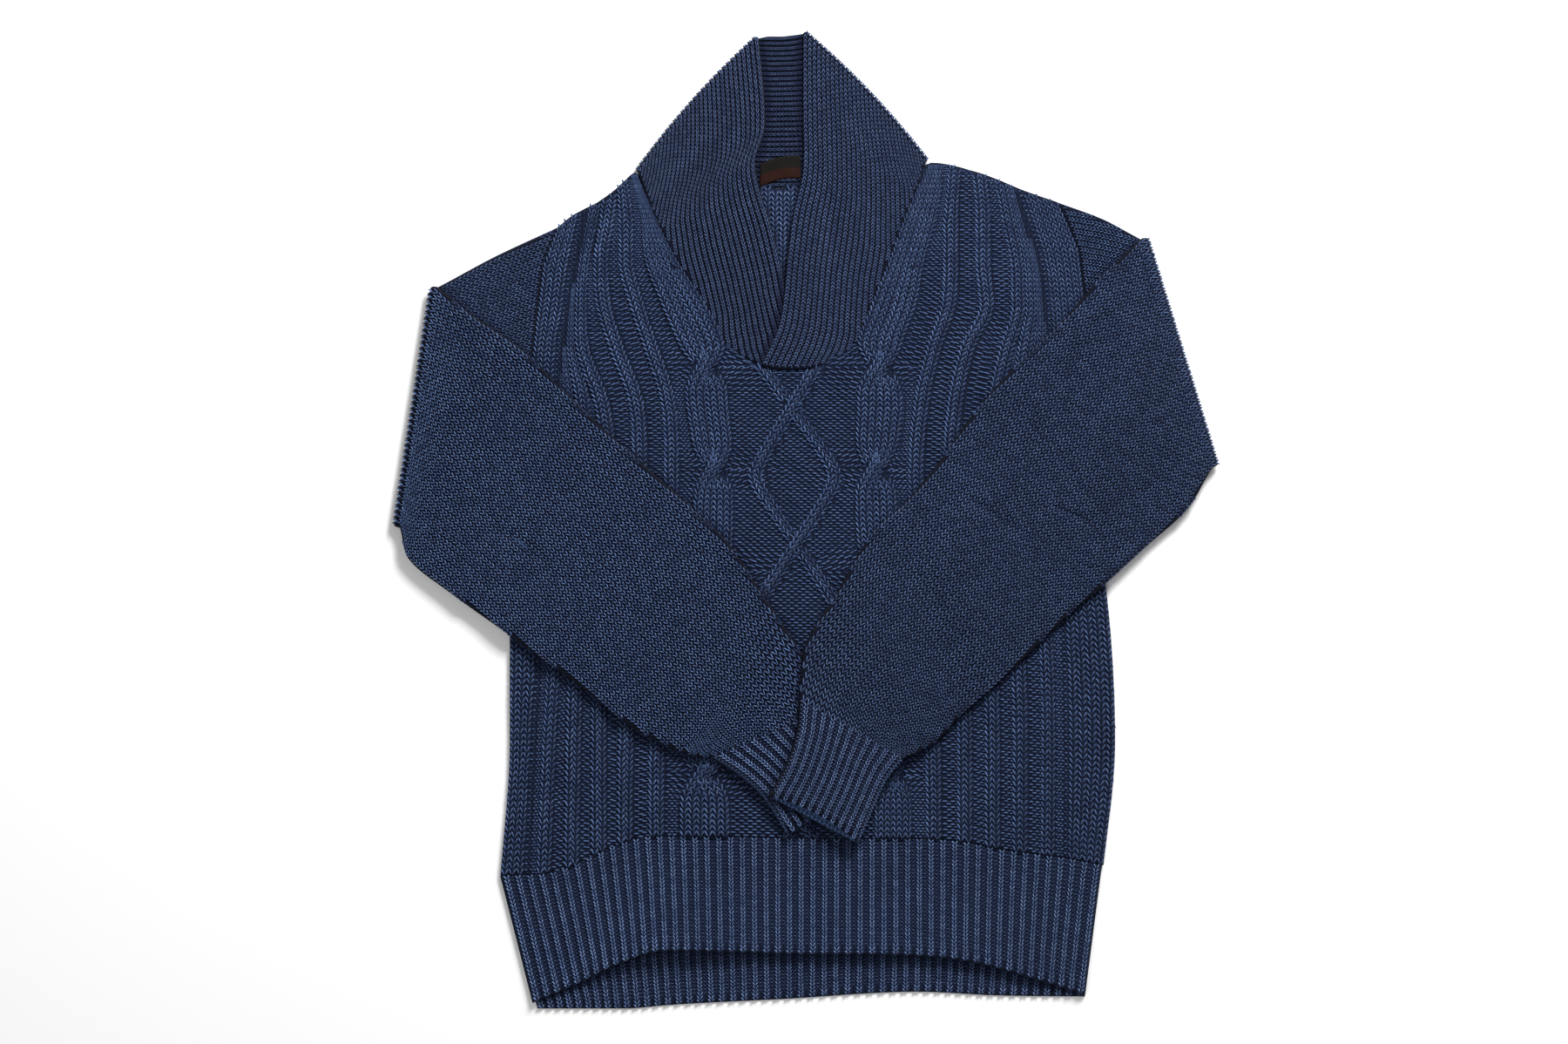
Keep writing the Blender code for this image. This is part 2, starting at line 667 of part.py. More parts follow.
# ---------------------------------------------------------------------------------- collar

def collar_fold(line):
    """Stations round one fold of the collar, from the stand (angle 0) to the wing (angle pi)."""
    (low_x, low_y), (high_x, high_y) = line
    trim = COLLAR_TRIM / hypot(high_x - low_x, high_y - low_y)
    trimmed = ((mix(low_x, high_x, trim), mix(low_y, high_y, trim)), line[1])
    ends, out = fold_frame(trimmed, COLLAR_FOLD + COLLAR_WALL / 2)
    axis_z = COLLAR_WALL / 2 + COLLAR_FOLD

    def station(angle):
        def place(share, depth):
            x, y, z = turned(ends, out, share, depth, angle, COLLAR_FOLD, axis_z)
            bow = 4 * COLLAR_BOW * share * (1 - share)
            return x + out[0] * bow, y + out[1] * bow, z
        return place, sin(angle / 2) ** 2

    return [station(pi * k / COLLAR_FOLD_STEPS) for k in range(COLLAR_FOLD_STEPS + 1)]


def wing_station(side, row):
    seam_x, seam_y, free_x, free_y, lap, lap_from = row
    outward = -1 if side == "left" else 1
    middle_z = COLLAR_WALL / 2 + 2 * COLLAR_FOLD
    at_foot = max(seam_y, free_y) < V_LEVEL
    if not at_foot:
        seam_x = body_line(side + "_neck", seam_y) - outward * 2 * SEAM_GAP

    def place(share, depth):
        x = mix(seam_x, free_x, share)
        y = outline(V_BASE, x) + 2 * SEAM_GAP if at_foot else mix(seam_y, free_y, share)
        return x, y, middle_z + lap * ease(share / lap_from) - depth

    return place, 1.0


def stand_station(row):
    seam_x, free_x, free_y = row
    seam_y = straight(BACK_NECK, seam_x) + 2 * SEAM_GAP

    def place(share, depth):
        return mix(seam_x, free_x, share), mix(seam_y, free_y, share), COLLAR_WALL / 2 + depth

    return place, 0.0


def collar(material):
    """One band from the left end over the stand to the right end; share 0 is its seam edge."""
    stations = [wing_station("left", row) for row in LEFT_WING[::-1]]
    stations += collar_fold(LEFT_COLLAR_FOLD)[::-1]
    stations += [stand_station(row) for row in STAND]
    stations += collar_fold(RIGHT_COLLAR_FOLD)
    stations += [wing_station("right", row) for row in RIGHT_WING]
    columns = 2 * COLLAR_RIBS + 1

    def ridge(c):
        return COLLAR_RIB_RISE if c % 2 else 0.0

    def outside(c, r):
        place, wing_share = stations[r]
        return place(c / (columns - 1), -COLLAR_WALL / 2 - ridge(c) * wing_share)

    def inside(c, r):
        place, wing_share = stations[r]
        return place(c / (columns - 1), COLLAR_WALL / 2 + ridge(c) * (wing_share == 0.0))

    return wall("collar", material, outside, inside, columns, len(stations))


def neck_label(material):
    """Woven label, slightly arched, on the neck seam of the back."""
    columns = 7
    low_z = WALL + LAY_GAP + COLLAR_RIB_RISE

    def place(c, r, z):
        share = c / (columns - 1)
        foot = mix(LABEL_BOTTOM_LEFT, LABEL_BOTTOM_RIGHT, share)
        arch = LABEL_ARCH * sin(pi * share)
        return mix(LABEL_LEFT, LABEL_RIGHT, share), foot + arch + r * LABEL_HEIGHT / 2, z

    return wall("neck_label", material, lambda c, r: place(c, r, low_z + LABEL_THICKNESS),
                lambda c, r: place(c, r, low_z), columns, 3)


def main():
    for piece in list(bpy.data.objects):
        bpy.data.objects.remove(piece)
    body_yarn = knit("indigo_knit", (44, 55, 82))
    rib_yarn = knit("indigo_rib", (43, 54, 80))
    label_weave = knit("label_weave", (40, 26, 18))
    back_panel(body_yarn)
    front_panel(body_yarn)
    back_hem(rib_yarn)
    front_hem(rib_yarn)
    for side in ("left", "right"):
        sleeve(side, body_yarn)
        cuff(side, rib_yarn)
    collar(rib_yarn)
    neck_label(label_weave)


main()
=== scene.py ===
# %% [markdown]
# # A cable-knit sweater with a shawl collar, laid flat
#
# The sweater lies on its back with both sleeves folded over its front. Everything on it is knitted
# cloth, so the lesson builds every piece twice. First comes a closed wall of cloth with the ribs,
# cables and folds in its shape. Then come the stitches on the side that is seen, thousands of small
# loops of yarn that Geometry Nodes set on that wall.
#
# Sizes are in millimetres and turn into metres where a mesh is made. X runs across the sweater, Y up
# towards the collar and Z away from the table.

# %% The fixed frame
from math import hypot, pi, radians

import bmesh
import bpy
import numpy as np
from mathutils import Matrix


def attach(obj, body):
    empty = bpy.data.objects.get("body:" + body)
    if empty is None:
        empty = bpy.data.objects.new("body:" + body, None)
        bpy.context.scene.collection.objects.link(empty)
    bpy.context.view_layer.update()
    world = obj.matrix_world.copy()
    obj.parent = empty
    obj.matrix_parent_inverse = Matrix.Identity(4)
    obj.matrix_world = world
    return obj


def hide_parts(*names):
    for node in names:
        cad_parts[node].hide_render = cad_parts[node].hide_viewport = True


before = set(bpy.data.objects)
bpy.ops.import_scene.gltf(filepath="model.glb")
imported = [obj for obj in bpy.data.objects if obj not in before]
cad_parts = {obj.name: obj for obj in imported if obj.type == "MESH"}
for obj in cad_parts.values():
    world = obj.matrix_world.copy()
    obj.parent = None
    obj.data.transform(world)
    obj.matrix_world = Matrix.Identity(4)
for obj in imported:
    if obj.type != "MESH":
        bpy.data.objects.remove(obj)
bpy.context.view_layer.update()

MM = 0.001
print("nodes:", sorted(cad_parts))

# %% [markdown]
# ## Sizes that the whole sweater shares
#
# Cloth has a thickness, and pieces that are sewn or that lie on each other keep a hair of room. The
# relief of the knit is given as half widths and heights, because each ridge is drawn round its middle.

# %% Cloth, relief and bands
WALL = 2.6              # body knit, ladders between the ribs
SLEEVE_WALL = 2.4
COLLAR_WALL = 2.2
SEAM_GAP = 0.3
LAY_GAP = 0.3
EDGE_ROUND = 1.3        # drop of the outer face at a rounded edge
EDGE_INSET = 4.0
SUNK = 0.5              # the wall lies this much lower than the yarn's middle
Z_FRONT = WALL + LAY_GAP

RIB_HALF = 6.5          # half the foot of a two-column rib
RIB_RISE = 1.5
CROWDED_HALF = 0.48     # widest half foot of a rib, as a share of the way to its neighbour
SQUEEZED_RIBS = (0.22, 0.68)
LEAST_ROOM = 1.5
TROUGH_HALF = 3.0
TROUGH_DEPTH = 0.9
CABLE_RISE = 2.1
CABLE_PERIOD = 85.0     # from one crossing to the next
CABLE_CROSSING = 128.0
CABLE_TURN = 21.0       # half the height over which the strands change sides
DIAMOND_HALF = 33.0     # widest offset of the travelling lines
DIAMOND_PERIOD = 114.0
DIAMOND_CROSSING = 94.0
V_LEVEL = 148.5         # height at which the front divides for the neck
UNDERARM = 35.0
BODY_WALE = 7.0         # one stitch in the pattern on the walls of the body
BODY_ROW = 4.6

HEM_RIBS = 51
HEM_WIDTH = 503.0       # along the seam of a hem band
FRONT_HEM_LENGTH = 98.0
BACK_HEM_LENGTH = 112.0
CUFF_RIBS = 11
SLEEVE_HALF = 2.6       # half the thickness of the flattened tube
SLEEVE_FOLD = 3.1       # middle radius of the turn
CUFF_HALF = 2.5
FOLD_STEPS = 5
COLLAR_FOLD = 1.45
COLLAR_FOLD_STEPS = 4
COLLAR_BOW = 4.0
COLLAR_TRIM = 3.6

# %% [markdown]
# ## The lines of the body
#
# A knitted front is drawn by its columns of stitches. The table gives the place of each main line at
# ten heights: the side edges, the troughs beside the ribs, the ribs, the two cables and the centre.
# Between the rows a smooth curve finds the place, so that a line bends as the soft cloth does.

# %% Lines, outlines and bands of the body
BODY_COLUMNS = ("y", "left_edge", "left_trough", "left_rib3", "left_rib2", "left_rib1",
                "left_cable", "left_neck", "centre", "right_neck", "right_cable",
                "right_rib1", "right_rib2", "right_rib3", "right_trough", "right_edge")
BODY_LINES = (
    (301, -206, -179, -168, -160, -154, -148, -145, -19, 106, 117, 125, 145, 162, 171, 212),
    (253, -203, -188, -179, -165, -149, -136, -124, -19, 84, 110, 122, 149, 171, 188, 218),
    (217, -219, -195, -186, -170, -149, -133, -106, -18, 71, 100, 122, 149, 178, 199, 231),
    (180, -222, -200, -188, -168, -140, -119, -82, -17, 56, 93, 120, 152, 179, 204, 235),
    (144, -227, -206, -186, -157, -128, -105, -65, -15, 44, 82, 108, 136, 169, 206, 238),
    (100, -233, -208, -170, -141, -114, -99, -64, -11, 44, 82, 98, 126, 159, 207, 241),
    (42, -240, -214, -164, -138, -111, -92, -59, -8, 42, 77, 93, 122, 151, 209, 242),
    (-104, -246, -222, -170, -145, -119, -100, -62, -6, 50, 84, 103, 130, 155, 217, 257),
    (-184, -246, -227, -172, -149, -123, -104, -63, -5, 58, 88, 107, 134, 157, 219, 260),
    (-300, -254, -233, -172, -150, -124, -104, -63, -2, 59, 90, 108, 134, 157, 218, 249),
)
SHOULDERS = ((-206, 245), (-195, 254), (-166, 270), (-152, 282), (-143, 290),
             (106, 299), (148, 290), (186, 275), (212, 266))
BACK_NECK = ((-143, 290), (-81, 280), (-19, 278), (43, 282), (106, 299))
V_BASE = ((-65, 148), (-53, 138), (-36, 129), (-13, 126), (12, 129), (23, 135), (44, 149))
HEM_TOP = ((-254, -297), (-206, -293), (-170, -277), (-148, -268), (-126, -264), (27, -266),
           (129, -268), (165, -275), (217, -282), (249, -288))
LEFT_ARMHOLE = ((245, -206), (212.8, -218.5), (148.5, -226), (35, -240))
RIGHT_ARMHOLE = ((266, 212), (226.8, 229), (148.5, 238), (35, 243))
BACK_SEAM = ((-254, -297), (249, -288))

HEM_COLUMNS = ("top_x", "bottom_x", "bottom_y", "lift")
FRONT_HEM = (
    (-254, -227, -403, 0.5), (-206, -186, -385, 4.0), (-163, -151, -368, 8.0),
    (-119, -114, -358, 11.0), (-17, -17, -361, 6.0), (129, 128, -366, 6.0),
    (202, 195, -383, 4.0), (249, 235, -396, 0.5),
)
BACK_HEM = (
    (-254, -223, -408, 0.0), (-163, -150, -408, 0.0), (-119, -112, -405, 0.0),
    (-17, -17, -400, 0.0), (96, 94, -394, 0.0), (169, 160, -397, 0.0), (249, 235, -398, 0.0),
)

# %% Smooth and straight curves through a table
def mix(a, b, share):
    return a + (b - a) * share


def ease(share):
    """Smooth step from 0 to 1."""
    share = np.clip(share, 0.0, 1.0)
    return share * share * (3 - 2 * share)


def cubic(t, span, a, b, slope_a, slope_b):
    """Smooth curve from a to b that has the given slopes at its ends."""
    return ((2 * t**3 - 3 * t**2 + 1) * a + (t**3 - 2 * t**2 + t) * span * slope_a
            + (3 * t**2 - 2 * t**3) * b + (t**3 - t**2) * span * slope_b)


def smooth(keys, values, at):
    """Values on a smooth curve through the given ones, for a whole array of keys."""
    keys, values = np.array(keys, float), np.array(values, float)
    if keys[0] > keys[-1]:
        keys, values = keys[::-1], values[::-1]
    rise = np.diff(values) / np.diff(keys)
    turn = np.where(rise[:-1] * rise[1:] > 0, (rise[:-1] + rise[1:]) / 2, 0.0)
    slope = np.concatenate([rise[:1], turn, rise[-1:]])
    at = np.clip(at, keys[0], keys[-1])
    i = np.clip(np.searchsorted(keys, at, side="right") - 1, 0, len(keys) - 2)
    span = keys[i + 1] - keys[i]
    return cubic((at - keys[i]) / span, span, values[i], values[i + 1], slope[i], slope[i + 1])


def straight(rows, at):
    """Values on straight lines between (key, value) rows."""
    keys, values = zip(*sorted(rows))
    return np.interp(at, keys, values)


def column(rows, names, name):
    return [row[names.index(name)] for row in rows]


def body_line(name, y):
    line = smooth(column(BODY_LINES, BODY_COLUMNS, "y"), column(BODY_LINES, BODY_COLUMNS, name), y)
    if name.endswith("edge"):
        armhole = LEFT_ARMHOLE if name.startswith("left") else RIGHT_ARMHOLE
        line = np.where(np.asarray(y) > UNDERARM, straight(armhole, y), line)
    return line


def outline(rows, x):
    return smooth([row[0] for row in rows], [row[1] for row in rows], x)


print("cable width at the hem:", round(float(body_line("left_neck", -260) - body_line("left_cable", -260))))

# %% [markdown]
# ## The camera and the light
#
# The photograph looks straight down from far away, so a long lens hangs high above the table and
# nothing is tilted. The floor is a plain pale sheet. The main soft light stands beyond the collar and
# to the right, so that the ribs throw short shadows towards the hem. A weak one from the left and an
# even sky fill the rest.

# %% Camera, floor and lights
PIXEL = 0.729                   # millimetres to a pixel of the photograph
IMAGE_SIZE = (1800, 1198)
MIDDLE = (-16.8, -1.1)
LENS = 85.0
SENSOR = 36.0


def added(name, data):
    """New object in the scene."""
    made = bpy.data.objects.new(name, data)
    bpy.context.scene.collection.objects.link(made)
    return made


camera_data = bpy.data.cameras.new("overhead_camera")
camera_data.lens = LENS
camera_data.sensor_width = SENSOR
camera = added("overhead_camera", camera_data)
distance = IMAGE_SIZE[0] * PIXEL * MM * LENS / SENSOR
camera.location = (MIDDLE[0] * MM, MIDDLE[1] * MM, distance)
bpy.context.scene.camera = camera

FLOOR_REACH = 3.0               # metres from the middle to each side
FLOOR_DROP = 0.0005             # metres, so that the floor never touches the cloth
floor_mesh = bpy.data.meshes.new("floor")
reach = FLOOR_REACH
floor_mesh.from_pydata([(-reach, -reach, 0), (reach, -reach, 0), (reach, reach, 0), (-reach, reach, 0)],
                       [], [(0, 1, 2, 3)])
floor = added("floor", floor_mesh)
floor.location.z = -FLOOR_DROP
floor_paint = bpy.data.materials.new("floor_paint")
floor_paint.use_nodes = True
floor_shader = floor_paint.node_tree.nodes["Principled BSDF"]
floor_shader.inputs["Base Color"].default_value = (0.97, 0.97, 0.97, 1.0)
floor_shader.inputs["Roughness"].default_value = 0.8
floor_mesh.materials.append(floor_paint)


def soft_light(name, place, size, power):
    """Square light that looks at the middle of the sweater."""
    data = bpy.data.lights.new(name, "AREA")
    data.shape = "SQUARE"
    data.size = size
    data.energy = power
    lamp = added(name, data)
    lamp.location = place
    x, y, z = place
    lamp.rotation_euler = (np.arctan2(hypot(x, y), z), 0.0, np.arctan2(x, -y))


soft_light("key_light", (0.75, 1.75, 1.5), 0.8, 84.0)
soft_light("fill_light", (-0.9, -0.4, 2.2), 1.6, 12.0)
world = bpy.data.worlds.new("studio")
world.use_nodes = True
sky = world.node_tree.nodes["Background"].inputs
sky["Color"].default_value = (1.0, 1.0, 1.0, 1.0)
sky["Strength"].default_value = 0.3
bpy.context.scene.world = world
bpy.context.scene.view_settings.view_transform = "Standard"
print("camera height:", round(distance, 2), "m")

# %% [markdown]
# ## The yarn and the cloth
#
# The yarn is a soft blue cotton with paler fibres in it. Each stitch has a tint of its own, noise
# scatters pale flecks and slubs over it, and the twist of the yarn shows as slanting lines. The twist
# follows the leg of the stitch, so it reads the leg's own UV map. Painted shade darkens the sides and
# tips of a leg, and a stitch that lies in the gap beside another piece takes a painted shadow.

# %% Small helpers for materials
def linear(srgb):
    return tuple(((value / 255 + 0.055) / 1.055) ** 2.4 for value in srgb) + (1.0,)


def node(tree, kind, settings=None, **inputs):
    """New node: settings are its properties, and inputs are values or sockets by name or number."""
    made = tree.nodes.new(kind)
    for key, value in (settings or {}).items():
        setattr(made, key, value)
    for key, value in inputs.items():
        name = int(key[1:]) if key[1:].isdigit() else key.replace("_", " ")
        if isinstance(value, bpy.types.NodeSocket):
            tree.links.new(value, made.inputs[name])
        else:
            made.inputs[name].default_value = value
    return made


def sums(tree, operation, first, second=0.0):
    return node(tree, "ShaderNodeMath", {"operation": operation}, n0=first, n1=second).outputs[0]


def new_material(name, roughness, specular, sheen=0.0):
    """Material with a dull finish, its node tree and its shader."""
    material = bpy.data.materials.new(name)
    material.use_nodes = True
    shader = material.node_tree.nodes["Principled BSDF"]
    shader.inputs["Roughness"].default_value = roughness
    shader.inputs["Specular IOR Level"].default_value = specular
    shader.inputs["Sheen Weight"].default_value = sheen
    return material, material.node_tree, shader


def dressed_shader(tree, shader, colour, height, strength, distance):
    """Give a shader its colour and its bump."""
    tree.links.new(colour, shader.inputs["Base Color"])
    bump = node(tree, "ShaderNodeBump", Height=height, Strength=strength, Distance=distance)
    tree.links.new(bump.outputs["Normal"], shader.inputs["Normal"])


def blended(tree, share, low, high):
    """Colour between two others."""
    made = node(tree, "ShaderNodeMix", {"data_type": "RGBA"}, n0=share)
    for slot, value in ((6, low), (7, high)):
        if isinstance(value, bpy.types.NodeSocket):
            tree.links.new(value, made.inputs[slot])
        else:
            made.inputs[slot].default_value = value
    return made.outputs[2]


YARN_LOW = linear((47, 67, 109))
YARN_HIGH = linear((98, 126, 176))
FLECK = linear((142, 166, 208))
# The last two colours are painted shade: the dark in the gaps between loops and the deep blue of shaded stitches.
GAP_SHADE = linear((9, 15, 34))
SHADE = linear((13, 23, 58))

# %% The yarn of the stitches
TWIST_TURNS = 2.0
TWIST_LEAN = 3.0


def yarn_material(name, low, high, flat):
    """flat tells how little painted shade darkens the sides and tips of a loop, from 0 to 1."""
    material, tree, shader = new_material(name, 0.8, 0.15, 0.04)
    shader.inputs["Sheen Roughness"].default_value = 0.5
    place = node(tree, "ShaderNodeTexCoord").outputs["Object"]
    tint = node(tree, "ShaderNodeAttribute", {"attribute_name": "tint"}).outputs["Fac"]
    leg = node(tree, "ShaderNodeUVMap", {"uv_map": "leg"}).outputs["UV"]
    leg_parts = node(tree, "ShaderNodeSeparateXYZ", Vector=leg)
    around = sums(tree, "MULTIPLY", leg_parts.outputs["X"], TWIST_TURNS)
    lean = sums(tree, "MULTIPLY", leg_parts.outputs["Y"], TWIST_LEAN)
    turns = sums(tree, "MULTIPLY", sums(tree, "ADD", around, lean), 2 * pi)
    ply = sums(tree, "MULTIPLY", sums(tree, "ADD", sums(tree, "SINE", turns), 1.0), 0.5)
    fibre = node(tree, "ShaderNodeTexNoise", Vector=place, Scale=1500.0, Detail=3.0, Roughness=0.7)
    patch = node(tree, "ShaderNodeTexNoise", Vector=place, Scale=26.0, Detail=2.0)
    share = sums(tree, "SUBTRACT", sums(tree, "MULTIPLY", tint, 0.6), 0.08)
    share = sums(tree, "ADD", share, sums(tree, "MULTIPLY", ply, 0.22))
    share = sums(tree, "ADD", share, sums(tree, "MULTIPLY", patch.outputs["Fac"], 0.3))
    cloth = blended(tree, share, low, high)
    flecks = node(tree, "ShaderNodeMapRange", n0=fibre.outputs["Fac"], n1=0.56, n2=0.72)
    colour = blended(tree, sums(tree, "MULTIPLY", flecks.outputs["Result"], 0.45), cloth, FLECK)
    slub = node(tree, "ShaderNodeTexNoise", Vector=place, Scale=360.0, Detail=1.0)
    slubs = node(tree, "ShaderNodeMapRange", n0=slub.outputs["Fac"], n1=0.54, n2=0.68)
    colour = blended(tree, sums(tree, "MULTIPLY", slubs.outputs["Result"], 0.3), colour, FLECK)
    # Painted shade: the sides and tips of each leg darken towards the gap colour.
    crown = sums(tree, "ABSOLUTE", sums(tree, "COSINE", sums(tree, "MULTIPLY", leg_parts.outputs["X"], pi)))
    tips = sums(tree, "SINE", sums(tree, "MULTIPLY", leg_parts.outputs["Y"], pi))
    lit = sums(tree, "MULTIPLY", sums(tree, "POWER", crown, 0.8), sums(tree, "POWER", tips, 0.6))
    lit = sums(tree, "ADD", sums(tree, "MULTIPLY", lit, 1.25), flat)
    colour = blended(tree, sums(tree, "MINIMUM", lit, 1.0), GAP_SHADE, colour)
    # Painted shade: the stitch's shade attribute draws its colour towards a deep blue.
    painted_shade = node(tree, "ShaderNodeAttribute", {"attribute_name": "shade"}).outputs["Fac"]
    height = sums(tree, "ADD", sums(tree, "MULTIPLY", ply, 0.3), fibre.outputs["Fac"])
    dressed_shader(tree, shader, blended(tree, painted_shade, colour, SHADE), height, 0.25, 0.0002)
    return material


body_yarn = yarn_material("indigo_yarn", YARN_LOW, YARN_HIGH, 0.0)
print("yarn nodes:", len(body_yarn.node_tree.nodes))

# %% [markdown]
# The walls of cloth carry no modelled loops where nobody looks, such as the underside. There a
# pattern on their UV map draws the same columns of V-shaped stitches: one unit of the map is one
# stitch, so the pattern needs only the fraction of each coordinate. The gaps between the drawn loops
# are painted shade, and so is the dark of a face that stitches or other pieces cover.

# %% The cloth of the walls
V_LEAN = 1.3            # how far the legs of a V climb over half a column


def cloth_material(name):
    material, tree, shader = new_material(name, 0.9, 0.1, 0.03)
    place = node(tree, "ShaderNodeTexCoord").outputs["Object"]
    knit = node(tree, "ShaderNodeUVMap", {"uv_map": "knit"}).outputs["UV"]
    parts = node(tree, "ShaderNodeSeparateXYZ", Vector=knit)
    across = sums(tree, "SUBTRACT", sums(tree, "FRACT", parts.outputs["X"]), 0.5)
    aside = sums(tree, "ABSOLUTE", across)
    climb = sums(tree, "SUBTRACT", parts.outputs["Y"], sums(tree, "MULTIPLY", aside, V_LEAN))
    loop = sums(tree, "SINE", sums(tree, "MULTIPLY", sums(tree, "FRACT", climb), pi))
    half = sums(tree, "FRACT", sums(tree, "MULTIPLY", aside, 2.0))
    leg = sums(tree, "SINE", sums(tree, "MULTIPLY", half, pi))
    form = sums(tree, "MULTIPLY", sums(tree, "POWER", loop, 0.6), sums(tree, "POWER", leg, 0.6))
    fibre = node(tree, "ShaderNodeTexNoise", Vector=place, Scale=1300.0, Detail=3.0, Roughness=0.7)
    patch = node(tree, "ShaderNodeTexNoise", Vector=place, Scale=26.0, Detail=2.0)
    share = sums(tree, "ADD", sums(tree, "MULTIPLY", patch.outputs["Fac"], 0.5),
                 sums(tree, "MULTIPLY", fibre.outputs["Fac"], 0.4))
    # Painted shade: the gaps between the drawn loops take the gap colour, and so do faces marked as under.
    colour = blended(tree, form, GAP_SHADE, blended(tree, share, YARN_LOW, YARN_HIGH))
    under = node(tree, "ShaderNodeAttribute", {"attribute_name": "under"}).outputs["Fac"]
    height = sums(tree, "ADD", form, sums(tree, "MULTIPLY", fibre.outputs["Fac"], 0.2))
    dressed_shader(tree, shader, blended(tree, under, colour, GAP_SHADE), height, 0.8, 0.001)
    return material


body_cloth = cloth_material("indigo_cloth")
print("cloth nodes:", len(body_cloth.node_tree.nodes))

# %% [markdown]
# ## One tree of nodes for every stitch
#
# Each stitch is a point with five attributes: the way its column runs, the way out of the cloth, its
# size, whether it is a knit or a purl stitch, and how much painted shade darkens it. A knit stitch
# shows two slanting legs, a V. A purl stitch shows the head of a loop and the arc to the next loop, two
# bars that lie like bricks. Both are made from two spindles of twelve triangles, since there are more
# than twenty thousand stitches.

# %% The stitch tree
STITCH_INPUTS = (
    ("Leg Sides", "NodeSocketInt", 3),
    ("Leg Width", "NodeSocketFloat", 0.21),
    ("Leg Length", "NodeSocketFloat", 0.70),
    ("Leg Height", "NodeSocketFloat", 0.22),
    ("Leg Slant", "NodeSocketFloat", radians(20.0)),
    ("Leg Tilt", "NodeSocketFloat", radians(9.0)),
    ("Leg Spread", "NodeSocketFloat", 0.235),
    ("Bar Width", "NodeSocketFloat", 0.27),
    ("Bar Length", "NodeSocketFloat", 0.40),
    ("Bar Rise", "NodeSocketFloat", 0.25),
    ("Seed", "NodeSocketInt", 7),
)


def stitch_tree(yarn):
    tree = bpy.data.node_groups.new("knit_and_purl_stitches", "GeometryNodeTree")
    tree.interface.new_socket("Points", in_out="INPUT", socket_type="NodeSocketGeometry")
    for name, kind, value in STITCH_INPUTS:
        made = tree.interface.new_socket(name, in_out="INPUT", socket_type=kind)
        made.default_value = value
    tree.interface.new_socket("Stitches", in_out="OUTPUT", socket_type="NodeSocketGeometry")
    given = tree.nodes.new("NodeGroupInput").outputs

    def attribute(name, kind):
        return node(tree, "GeometryNodeInputNamedAttribute", {"data_type": kind}, Name=name).outputs[0]

    def vector(x=0.0, y=0.0, z=0.0):
        return node(tree, "ShaderNodeCombineXYZ", X=x, Y=y, Z=z).outputs[0]

    def negative(value):
        return sums(tree, "MULTIPLY", value, -1.0)

    ball = node(tree, "GeometryNodeMeshUVSphere", Segments=given["Leg Sides"], Rings=3, Radius=1.0)
    spindle = node(tree, "GeometryNodeStoreNamedAttribute", {"data_type": "FLOAT2", "domain": "CORNER"},
                   Geometry=ball.outputs["Mesh"], Name="leg", Value=ball.outputs["UV Map"])
    spindle = node(tree, "GeometryNodeTransform", Geometry=spindle.outputs[0],
                   Rotation=(0.0, 0.0, radians(-90.0)))

    def yarn_leg(scale, turn, move):
        return node(tree, "GeometryNodeTransform", Geometry=spindle.outputs[0], Translation=move,
                    Rotation=turn, Scale=scale).outputs[0]

    leg_scale = vector(given["Leg Width"], given["Leg Height"], given["Leg Length"])
    tilted = sums(tree, "SUBTRACT", given["Leg Tilt"], radians(90.0))
    slant, spread = given["Leg Slant"], given["Leg Spread"]
    right = yarn_leg(leg_scale, vector(tilted, 0.0, negative(slant)), vector(spread))
    left = yarn_leg(leg_scale, vector(tilted, 0.0, slant), vector(negative(spread)))
    bar_scale = vector(given["Bar Width"], given["Leg Height"], given["Bar Length"])
    lying = vector(radians(-90.0), 0.0, radians(90.0))
    head = yarn_leg(bar_scale, lying, vector(0.0, given["Bar Rise"]))
    arc = yarn_leg(bar_scale, lying, vector(0.5, negative(given["Bar Rise"])))

    tint = node(tree, "FunctionNodeRandomValue", {"data_type": "FLOAT"}, Seed=given["Seed"])
    tinted = node(tree, "GeometryNodeStoreNamedAttribute", {"data_type": "FLOAT", "domain": "POINT"},
                  Geometry=given["Points"], Name="tint", Value=tint.outputs[1])
    turn = node(tree, "FunctionNodeAxesToRotation", {"primary_axis": "Z", "secondary_axis": "Y"},
                Primary_Axis=attribute("out", "FLOAT_VECTOR"),
                Secondary_Axis=attribute("along", "FLOAT_VECTOR"))
    purl = attribute("purl", "BOOLEAN")
    knit = node(tree, "FunctionNodeBooleanMath", {"operation": "NOT"}, n0=purl).outputs[0]
    every = node(tree, "GeometryNodeJoinGeometry")
    for chosen, parts in ((knit, (right, left)), (purl, (head, arc))):
        shape = node(tree, "GeometryNodeJoinGeometry")
        for part in parts:
            tree.links.new(part, shape.inputs[0])
        placed = node(tree, "GeometryNodeInstanceOnPoints", Points=tinted.outputs[0], Selection=chosen,
                      Instance=shape.outputs[0], Rotation=turn.outputs[0],
                      Scale=attribute("size", "FLOAT_VECTOR"))
        tree.links.new(placed.outputs[0], every.inputs[0])
    real = node(tree, "GeometryNodeRealizeInstances", Geometry=every.outputs[0])
    soft = node(tree, "GeometryNodeSetShadeSmooth", Geometry=real.outputs[0])
    spun = node(tree, "GeometryNodeSetMaterial", Geometry=soft.outputs[0], Material=yarn)
    out = tree.nodes.new("NodeGroupOutput")
    tree.links.new(spun.outputs[0], out.inputs[0])
    return tree


stitches_of_body = stitch_tree(body_yarn)
print("stitch tree nodes:", len(stitches_of_body.nodes))

